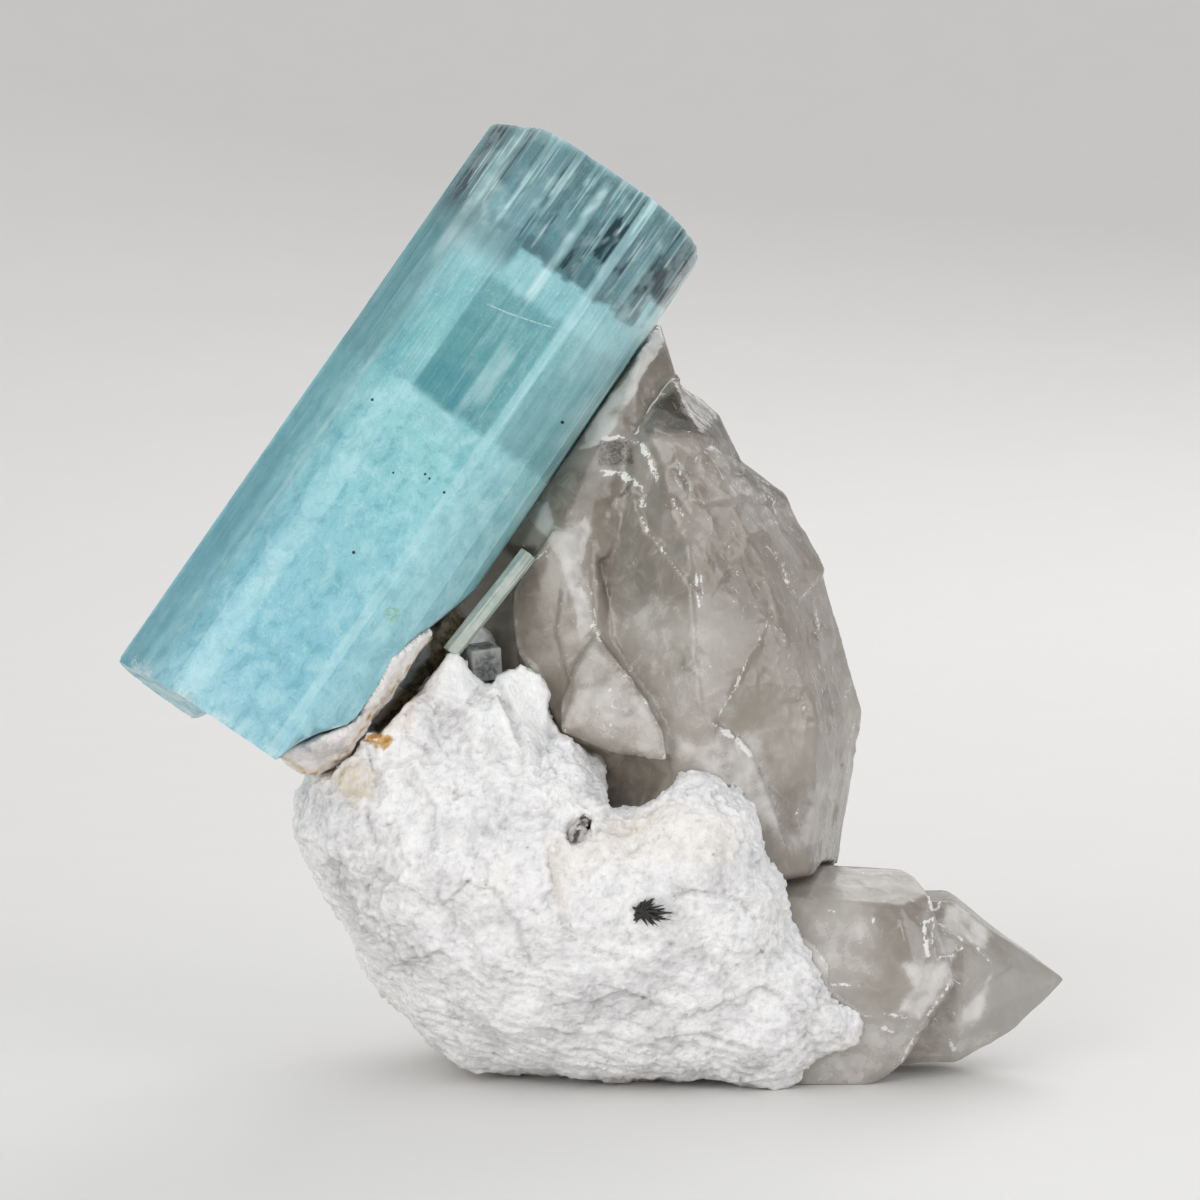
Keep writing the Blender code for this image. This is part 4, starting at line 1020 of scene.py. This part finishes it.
LUMP_GREY = [
    ([(304, 796), (360, 790), (392, 830), (398, 890), (440, 980), (380, 960), (330, 880)], 16.0,
     0.50), ([(406, 700), (440, 706), (476, 712), (470, 752), (420, 752)], 8.0, 0.40),
    ([(470, 800), (520, 790), (530, 840), (480, 850)], 12.0, 0.28),
    ([(345, 800), (380, 790), (375, 860), (330, 880), (318, 840)], 12.0, 0.28),
    ([(518, 925), (535, 925), (535, 945), (518, 945)], 5.0, 0.55),
    ([(510, 945), (545, 945), (545, 965), (512, 965)], 7.0, 0.30),
    ([(470, 955), (505, 965), (505, 985), (485, 985)], 5.0, 0.55),
    ([(545, 985), (600, 990), (600, 1010), (550, 1010)], 8.0, 0.40),
    ([(360, 900), (400, 900), (400, 940), (365, 935)], 10.0, 0.30),
    ([(420, 700), (445, 700), (450, 725), (420, 725)], 7.0, 0.35),
    ([(575, 765), (612, 775), (605, 800), (580, 790)], 6.0, 0.32),
    ([(800, 980), (830, 985), (845, 1015), (815, 1010)], 6.0, 0.42),
    ([(720, 1060), (760, 1060), (760, 1085), (720, 1085)], 8.0, 0.30),
    ([(786, 965), (812, 985), (850, 1000), (866, 1040), (838, 1074), (802, 1060), (782, 1005)],
     12.0, 0.32),
]
LUMP_WARM = [
    ([(548, 838), (600, 835), (660, 800), (740, 830), (730, 860), (600, 860), (560, 880)], 14.0,
     0.50), ([(548, 850), (560, 850), (568, 915), (556, 915)], 5.0, 0.35),
    ([(655, 830), (720, 820), (725, 840), (660, 850)], 9.0, 0.45),
    ([(490, 860), (510, 860), (510, 900), (490, 900)], 10.0, 0.25),
    ([(840, 1040), (870, 1030), (860, 1070), (820, 1075)], 8.0, 0.35),
]
LUMP_STAIN = [
    ([(360, 740), (374, 731), (388, 733), (398, 741), (386, 752), (374, 748)], 3.0, 0.95),
    ([(352, 760), (362, 752), (370, 758), (360, 768)], 4.0, 0.45),
    ([(338, 762), (350, 768), (346, 790), (336, 786)], 4.0, 0.45),
]
LUMP_TAN = [
    ([(330, 768), (350, 754), (374, 768), (374, 800), (352, 806), (338, 790)], 7.0, 0.70),
    ([(372, 720), (400, 690), (424, 690), (404, 726), (384, 742)], 7.0, 0.40),
    ([(548, 842), (560, 846), (566, 905), (556, 912)], 5.0, 0.22),
    ([(600, 826), (650, 812), (662, 824), (620, 842)], 6.0, 0.30),
]
# Dark areas: a small dark spot, and painted shade on the knob in shadow beside the prism and inside
# the small hollow.
LUMP_DARK_AND_SHADE = [
    ([(761, 951), (765, 951), (765, 955), (761, 955)], 1.0, 0.75),
    ([(424, 650), (434, 622), (452, 602), (470, 612), (456, 640), (446, 648), (432, 660)], 4.0,
     0.92), ([(563, 836), (566, 822), (588, 816), (590, 830), (582, 842)], 3.0, 0.25),
]
CRUST_SLOT = [(462, 615), (448, 634), (434, 654), (412, 681), (392, 706), (376, 726)]
# The way from the crust to the prism it grows on.
CRUST_TOWARDS = np.array([-0.74, 0.10, 0.66])
VUG_LIP = [(592, 842), (589, 828), (594, 815), (606, 806), (622, 800), (644, 802), (652, 792)]
SMALL_HOLLOW = [(556, 840), (560, 822), (578, 800), (598, 792), (600, 812), (586, 826),
                (590, 840), (572, 846)]
CRISP_BLOCK = [(440, 655), (462, 650), (484, 684), (466, 704), (440, 700), (420, 684)]
CRISP_PLATES = [(480, 670), (552, 670), (552, 740), (520, 760)]


def dress_lump(mesh):
    points, normals = points_of(mesh), normals_of(mesh)
    x, y = seen_at(points)
    front = facing_front(normals)
    grain, broad, fibre = Noise(51), Noise(52), Noise(53)
    crisp = np.maximum(within(x, y, CRISP_BLOCK, 4.0), within(x, y, CRISP_PLATES, 6.0)) * front
    points = relaxed(mesh, points, 0.55 * (1.0 - 0.85 * crisp), 8)
    # The small hollow is shallow: its floor is not far behind its mouth.
    inside = within(x, y, SMALL_HOLLOW, 2.0) > 0.5
    mouth = (within(x, y, SMALL_HOLLOW, 12.0) > 0.05) & ~inside & (front > 0.5)
    level = np.percentile(points[mouth, 1], 30)
    inside &= points[:, 1] < level + 10.0
    floor = level + 1.0 + 0.5 * grain(points[inside] / 1.3, 3)
    points[inside, 1] = np.minimum(points[inside, 1], floor)
    set_points(mesh, points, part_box("albite_matrix"), 0.3)
    normals = normals_of(mesh)

    # Broken cleavage planes, then grains, then fibres that run across near the base.
    bent = points + 0.9 * np.stack([grain(points / 3.0 + shift) for shift in (0, 40, 80)], 1)
    _, large = broad.cells(bent / 5.2)
    _, medium = grain.cells(bent / 2.4)
    _, small = fibre.cells(bent / 1.15)
    low = step(34.0, 14.0, points[:, 2] - 0.25 * points[:, 0])
    along = np.stack([points[:, 0] / 6.5 + 0.12 * points[:, 2], points[:, 1] / 1.3,
                      points[:, 2] / 1.15 + 0.26 * points[:, 0]], 1)
    fibres = fibre(along + 0.4 * broad(points / 5.0)[:, None], 3)
    upright = np.stack([points[:, 0] / 1.5, points[:, 1] / 1.5, points[:, 2] / 9.0], 1)
    sheaf = fibre(upright + 0.3 * grain(points / 6.0)[:, None], 2) * (1.0 - low)
    rough = (0.66 - 0.26 * low) * large + (0.32 - 0.12 * low) * medium + 0.20 * small
    rough += 0.11 * grain(points / 0.9, 3) + 0.36 * fibres * low + 0.26 * sheaf
    pits = step(0.35, 0.75, broad(points / 2.4 + 9.0, 2))
    rough -= 0.16 * pits
    lip, _ = to_line(x, y, VUG_LIP)
    near_lip = np.exp(-(lip / 8.0) ** 2) * front
    beads, _ = fibre.cells(points / 1.1)
    rough = rough * (1.0 - 0.8 * crisp) + crisp * 0.05 * grain(points / 2.0, 2)
    rough += near_lip * (0.9 * (0.7 - beads) + 0.5)
    warp = 4.0 * broad(points / 3.0, 2)
    ledges = 1.6 * steps_on(x + warp, y + warp, LUMP_STEPS) * front
    # The slot between the crust and the lump, sunk in here and darkened below as painted shade.
    slot, _ = to_line(x, y, CRUST_SLOT)
    slot = np.exp(-(slot / 8.5) ** 2) * facing_front(normals, -0.6, -0.2)
    points = points + normals * (rough * (1.0 - 0.6 * slot) + ledges - 1.5 * slot)[:, None]
    flat = relaxed(mesh, points, np.full(len(points), 0.6), 5)
    stands = ((points - flat) * normals).sum(1)
    set_points(mesh, points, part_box("albite_matrix"), 0.3)

    back = 1.0 - front
    patches = step(0.12, 0.55, broad(points / 7.0 + 3.0, 3))
    # Painted shade: darker in hollows and pits.
    hollow = step(0.03, 0.20, -stands) * 0.55 + pits * 0.25
    grey = areas_on(x + warp, y + warp, LUMP_GREY) * front * (0.7 + 0.5 * grain(points / 0.8, 2))
    warm = areas_on(x + warp * 1.5, y + warp, LUMP_WARM) * front
    turned = facing_front(normals, -0.6, -0.2)
    stain = areas_on(x + warp, y + warp, LUMP_STAIN) * turned
    stain = stain * (0.75 + 0.6 * grain(points / 0.7, 3))
    tinted = areas_on(x + 2 * warp, y + 2 * warp, LUMP_TAN) * turned
    tinted *= 0.8 + 0.7 * grain(points, 3)
    # Dark where painted shade lies on the knob and in the small hollow.
    dark = areas_on(x + 0.5 * warp, y + 0.5 * warp, LUMP_DARK_AND_SHADE) * turned
    set_values(
        mesh, grey=grey + 0.34 * patches + low * 0.2 * step(0.1, 0.5, fibres), low=low,
        hollow=hollow, bright=step(0.02, 0.12, stands) + crisp,
        warm=warm + back * 0.5 * step(0.1, 0.5, broad(points / 9.0 + 7.0, 2)), tan=tinted,
        stain=stain + back * step(0.45, 0.9, broad(points / 8.0 + 21.0, 3)) * 0.4,
        # dark also holds painted shade along the slot.
        dark=np.maximum(dark, step(0.25, 0.7, slot)), crisp=crisp)
    smooth_shaded(mesh)


def albite_material(name, tint):
    s = Shader(name)
    place, low = s.place(), s.value("low")
    clouds = s.noise(place, 170.0, 3.0, 0.6, 0.4)
    grains = s.noise(place, 1000.0, 5.0, 0.72, 0.5)
    specks = s.noise(place, 3200.0, 3.0, 0.7, 0.3)
    across = s.noise(s.stretched(place, (300.0, 900.0, 1500.0)), 1.0, 3.0, 0.65, 0.7)
    upright = s.noise(s.stretched(place, (1400.0, 900.0, 280.0)), 1.0, 3.0, 0.65, 0.7)
    fibres = s.math("ADD", s.times(across, low), s.times(upright, s.spread(low, 1.0, 0.0)))
    grey = s.times(s.value("grey"), s.spread(grains, 0.35, 0.62, 0.65, 1.15))
    rust = s.mix(s.spread(grains, 0.36, 0.64), srgb(176, 116, 44), srgb(224, 190, 134))
    dark_and_shade_brown = s.mix(s.spread(grains, 0.4, 0.6), srgb(60, 48, 28), srgb(134, 116, 82))
    body = s.painted(
        s.mix(s.spread(clouds, 0.35, 0.7), tint, srgb(252, 251, 250)),
        (s.spread(grains, 0.48, 0.30, 0.34), srgb(188, 186, 188)),
        (s.spread(specks, 0.46, 0.30, 0.30), srgb(186, 184, 186)),
        (s.spread(fibres, 0.46, 0.30, 0.30), srgb(184, 181, 183)),
        (s.math("MINIMUM", grey, 0.85), srgb(172, 170, 172)),
        # Painted shade in hollows and pits.
        (s.times(s.value("hollow"), 0.40), srgb(150, 146, 146)),
        (s.times(s.value("bright"), 0.35), srgb(255, 254, 253)),
        (s.times(s.value("warm"), 0.60), srgb(238, 228, 212)),
        (s.times(s.value("tan"), 0.80), srgb(214, 194, 160)),
        (s.ragged(s.value("stain"), grains, 0.30, 0.70, 0.8), rust),
        # Dark brown: painted shade on the knob, in the small hollow and along the slot, and on the
        # crust further back.
        (s.value("dark"), dark_and_shade_brown))
    crumbs = s.cells(place, 1400.0)["Distance"]
    return s.finish(
        Base_Color=body, Roughness=s.spread(s.value("crisp"), 0.0, 1.0, 0.40, 0.60), IOR=1.53,
        Normal=s.bump(crumbs, 0.00025, 0.5, s.bump(grains, 0.0004, 0.8)))


def albite_lump():
    mesh = remeshed("albite_matrix", 0.45)
    dress_lump(mesh)
    mesh.materials.append(albite_material("albite", srgb(246, 245, 246)))
    add_piece("albite_lump", mesh, "albite_matrix")


CRUST_OUTER = [(285, 757), (300, 770), (315, 773), (345, 758), (357, 735), (383, 700),
               (405, 672), (433, 640)]


def albite_rim():
    """The crust on the prism's broken edge: white, with an orange-brown outer border."""
    mesh = remeshed("albite_crust", 0.21)
    points, normals = points_of(mesh), normals_of(mesh)
    grain, broad = Noise(61), Noise(62)
    _, plane = broad.cells(points / 2.2)
    relief = 0.14 * broad(points / 2.2, 3) + 0.07 * grain(points / 0.7, 3) + 0.22 * plane
    # Its side towards the prism swells until it all but touches.
    towards = step(0.1, 0.6, normals @ CRUST_TOWARDS)
    points = points + normals * (relief * (1 - 0.8 * towards) + 0.44 * towards)[:, None]
    set_points(mesh, points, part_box("albite_crust"), 0.3)
    x, y = seen_at(points)
    warp = 3.0 * broad(points / 1.8, 2)
    away, _ = to_line(x + warp, y + warp, CRUST_OUTER)
    border = np.exp(-(away / 3.6) ** 2) * (0.75 + 0.6 * grain(points / 1.0, 2))
    deep = step(-16.5, -13.5, points[:, 1])
    shade = within(x + warp, y, [(300, 748), (345, 738), (350, 752), (318, 764)], 5.0)
    none = np.zeros(len(points))
    set_values(
        mesh, grey=0.50 * shade + 0.08, low=none, hollow=none, bright=0.6 * (1.0 - shade),
        warm=0.12 + 0.5 * border, tan=0.75 * border, stain=0.55 * border + 0.55 * deep,
        dark=0.75 * deep, crisp=none + 0.5)
    smooth_shaded(mesh)
    mesh.materials.append(albite_material("stained albite", srgb(244, 236, 234)))
    add_piece("albite_rim", mesh, "albite_crust")


# ---------------------------------------------------------------- small crystals

def small_prism():
    mesh = remeshed("small_aquamarine", 0.12)
    points, normals = points_of(mesh), normals_of(mesh)
    axis = np.array([9.6, 2.4, 12.0])
    axis /= np.linalg.norm(axis)
    across = points - (points @ axis)[:, None] * axis
    grain = Noise(71)
    ridges = grain(across / 0.3 + (points @ axis)[:, None] / 14.0, 2)
    set_points(mesh, points + normals * (0.05 * ridges)[:, None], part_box("small_aquamarine"), 0.1)
    up = (points @ axis - (points @ axis).min()) / np.ptp(points @ axis)
    set_values(mesh, height=up, line=0.5 + 0.5 * ridges)
    smooth_shaded(mesh)
    s = Shader("pale aquamarine")
    clouds = s.noise(s.place(), 500.0, 4.0, 0.6, 0.4)
    body = s.painted(
        s.ramp(s.value("height"), [(0.0, srgb(216, 222, 208)), (0.45, srgb(196, 212, 204)),
                                   (1.0, srgb(184, 198, 190))]),
        (s.spread(clouds, 0.4, 0.65, 0.6), srgb(236, 240, 234)),
        (s.spread(s.value("line"), 0.38, 0.05, 0.6), srgb(122, 138, 126)))
    s.absorb((0.6, 0.8, 0.72, 1.0), 60.0)
    mesh.materials.append(s.finish(
        Base_Color=body, Roughness=0.2, IOR=1.58, Transmission_Weight=0.25,
        Normal=s.bump(clouds, 0.0001, 0.5)))
    add_piece("small_prism", mesh, "small_aquamarine")


def cube():
    mesh = remeshed("small_cube", 0.11)
    points, normals = points_of(mesh), normals_of(mesh)
    grain = Noise(81)
    relief = 0.03 * grain(points / 0.9, 3)
    from_middle = np.linalg.norm(points - points.mean(0), axis=1)
    set_points(mesh, points + normals * relief[:, None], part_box("small_cube"), 0.05)
    set_values(mesh, edge=step(2.35, 2.9, from_middle))
    smooth_shaded(mesh)
    s = Shader("grey fluorite")
    clouds = s.noise(s.place(), 700.0, 5.0, 0.65, 0.8)
    body = s.mix(s.spread(clouds, 0.38, 0.65), srgb(104, 106, 106), srgb(168, 170, 168))
    body = s.mix(s.times(s.value("edge"), 0.7), body, srgb(196, 196, 194))
    mesh.materials.append(s.finish(
        Base_Color=body, Roughness=0.2, IOR=1.434, Transmission_Weight=0.35,
        Normal=s.bump(clouds, 0.0002, 0.5)))
    add_piece("grey_cube", mesh, "small_cube")


def schorl_needles():
    """Black needles fanned from one spot, lying on the albite."""
    low, high = (np.array(corner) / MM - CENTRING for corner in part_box("schorl_spray"))
    rng = np.random.RandomState(5)
    heart = np.array([low[0] + 1.55, high[1] - 0.30, low[2] + 1.95])
    points, faces = [], []
    fans = [(22, 78, 13, 1.2, 2.9), (-14, 20, 12, 2.0, 4.0), (-60, -16, 14, 1.4, 3.1),
            (100, 250, 12, 0.4, 1.3)]
    for start, end, count, shortest, longest in fans:
        for index in range(count):
            angle = math.radians(start + (end - start) * (index + rng.uniform(0, 1)) / count)
            way = np.array([math.cos(angle), rng.uniform(-0.14, 0.10), math.sin(angle)])
            root = heart + rng.uniform(-0.65, 0.65, 3) * (1.0, 0.25, 0.7)
            tip = root + way * rng.uniform(shortest, longest)
            side = np.cross(way, (0.0, 1.0, 0.0))
            side /= np.linalg.norm(side)
            over = np.cross(side, way)
            radius = rng.uniform(0.09, 0.21)
            base = len(points)
            for middle, size in ((root, radius), (root * 0.3 + tip * 0.7, radius * 0.85)):
                for corner in range(6):
                    turn = corner * math.pi / 3
                    points.append(middle + size * (math.cos(turn) * side + math.sin(turn) * over))
            points.append(tip)
            for corner in range(6):
                after = (corner + 1) % 6
                faces.append((base + corner, base + after, base + 6 + after, base + 6 + corner))
                faces.append((base + 6 + corner, base + 6 + after, base + 12))
            faces.append(tuple(base + corner for corner in reversed(range(6))))
    mesh = bpy.data.meshes.new("schorl_needles")
    points = np.array(points)
    mesh.from_pydata(points.tolist(), [], faces)
    set_points(mesh, points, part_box("schorl_spray"), 0.1)
    s = Shader("schorl")
    grain = s.noise(s.place(), 3000.0, 3.0)
    body = s.mix(s.spread(grain, 0.4, 0.7), srgb(16, 16, 15), srgb(40, 38, 34))
    mesh.materials.append(s.finish(Base_Color=body, Roughness=0.32, IOR=1.64,
                                   Normal=s.bump(grain, 0.00005, 0.6)))
    add_piece("schorl_needles", mesh, "schorl_spray")


# ---------------------------------------------------------------- stage

# In metres: the floor is a flat disc, with a pinhole in its middle, and the wall round it is
# flat up to a radius of its own and then curves up.
FLOOR_RADIUS = 0.6
WALL_FOOT = 0.8
WALL_CURVE = 1.6
WALL_TOP = 2.6
CURVE_STEPS = 18
STAGE_SIDES = 96
PINHOLE = 0.0001
LIT_PLACE = (0.0, 0.0, 0.06)
# Soft lights: name, place, size, power and colour.
LIGHTS = [
    ("key", (-0.80, -1.25, 0.46), (1.1, 1.1), 11.6, (1.0, 0.99, 0.97)),
    ("fill", (1.10, -1.00, 0.36), (1.0, 1.0), 7.4, (0.97, 0.985, 1.0)),
    ("back", (0.35, 0.95, 0.75), (0.9, 0.6), 3.5, (1.0, 1.0, 1.0)),
    ("top", (0.0, 0.0, 1.60), (2.0, 2.0), 4.0, (1.0, 1.0, 1.0)),
]
SKY_COLOUR = (0.82, 0.82, 0.83, 1.0)
SKY_STRENGTH = 0.65


def stage_piece(name, profile):
    """A profile of radius and height, turned round the middle."""
    points, faces = [], []
    for radius, height in profile:
        for index in range(STAGE_SIDES):
            turn = 2 * math.pi * index / STAGE_SIDES
            points.append((radius * math.cos(turn), radius * math.sin(turn), height))
    for ring in range(len(profile) - 1):
        low, high = ring * STAGE_SIDES, (ring + 1) * STAGE_SIDES
        for index in range(STAGE_SIDES):
            after = (index + 1) % STAGE_SIDES
            faces.append((low + index, high + index, high + after, low + after))
    mesh = bpy.data.meshes.new(name)
    mesh.from_pydata(points, [], faces)
    smooth_shaded(mesh)
    s = Shader(name)
    tone = s.noise(s.place(), 40.0, 3.0)
    body = s.mix(tone, srgb(234, 233, 231), srgb(237, 236, 234))
    mesh.materials.append(s.finish(Base_Color=body, Roughness=0.55))
    piece = bpy.data.objects.new(name, mesh)
    bpy.context.scene.collection.objects.link(piece)
    return piece


def floor_and_wall():
    """A round pale floor and a wall that curves up from it, the same on every side."""
    stage_piece("floor", [(PINHOLE, 0.0), (FLOOR_RADIUS / 2, 0.0), (FLOOR_RADIUS, 0.0)])
    curve = [(FLOOR_RADIUS, 0.0)]
    for index in range(CURVE_STEPS + 1):
        turn = math.radians(90.0 * index / CURVE_STEPS)
        curve.append((WALL_FOOT + WALL_CURVE * math.sin(turn),
                      WALL_CURVE * (1.0 - math.cos(turn))))
    wall = stage_piece("wall", curve + [(WALL_FOOT + WALL_CURVE, WALL_TOP)])
    # The sky lights the stage through the wall, which saves long paths of light.
    wall.visible_diffuse = False


def softbox(name, place, size, power, colour):
    lamp = bpy.data.lights.new(name, "AREA")
    lamp.shape = "RECTANGLE"
    lamp.size, lamp.size_y = size
    lamp.energy = power
    lamp.color = colour
    holder = bpy.data.objects.new(name, lamp)
    bpy.context.scene.collection.objects.link(holder)
    holder.location = place
    way = Vector(LIT_PLACE) - Vector(place)
    holder.rotation_euler = way.to_track_quat("-Z", "Y").to_euler()


def light_and_camera():
    for light in LIGHTS:
        softbox(*light)
    world = bpy.data.worlds.new("studio")
    world.use_nodes = True
    background = world.node_tree.nodes["Background"]
    background.inputs["Color"].default_value = SKY_COLOUR
    background.inputs["Strength"].default_value = SKY_STRENGTH
    bpy.context.scene.world = world

    camera = bpy.data.cameras.new("camera")
    camera.lens = CAMERA_LENS
    camera.sensor_width = CAMERA_SENSOR
    camera.clip_start = 0.01
    camera.clip_end = 50.0
    holder = bpy.data.objects.new("camera", camera)
    bpy.context.scene.collection.objects.link(holder)
    holder.location = (CAMERA_PLACE + CENTRING) * MM
    holder.rotation_euler = (math.pi / 2 - CAMERA_PITCH, 0.0, 0.0)
    bpy.context.scene.camera = holder
    bpy.context.scene.view_settings.view_transform = "Standard"


aquamarine()
smoky_quartz()
quartz_point()
albite_lump()
albite_rim()
small_prism()
cube()
schorl_needles()
floor_and_wall()
light_and_camera()
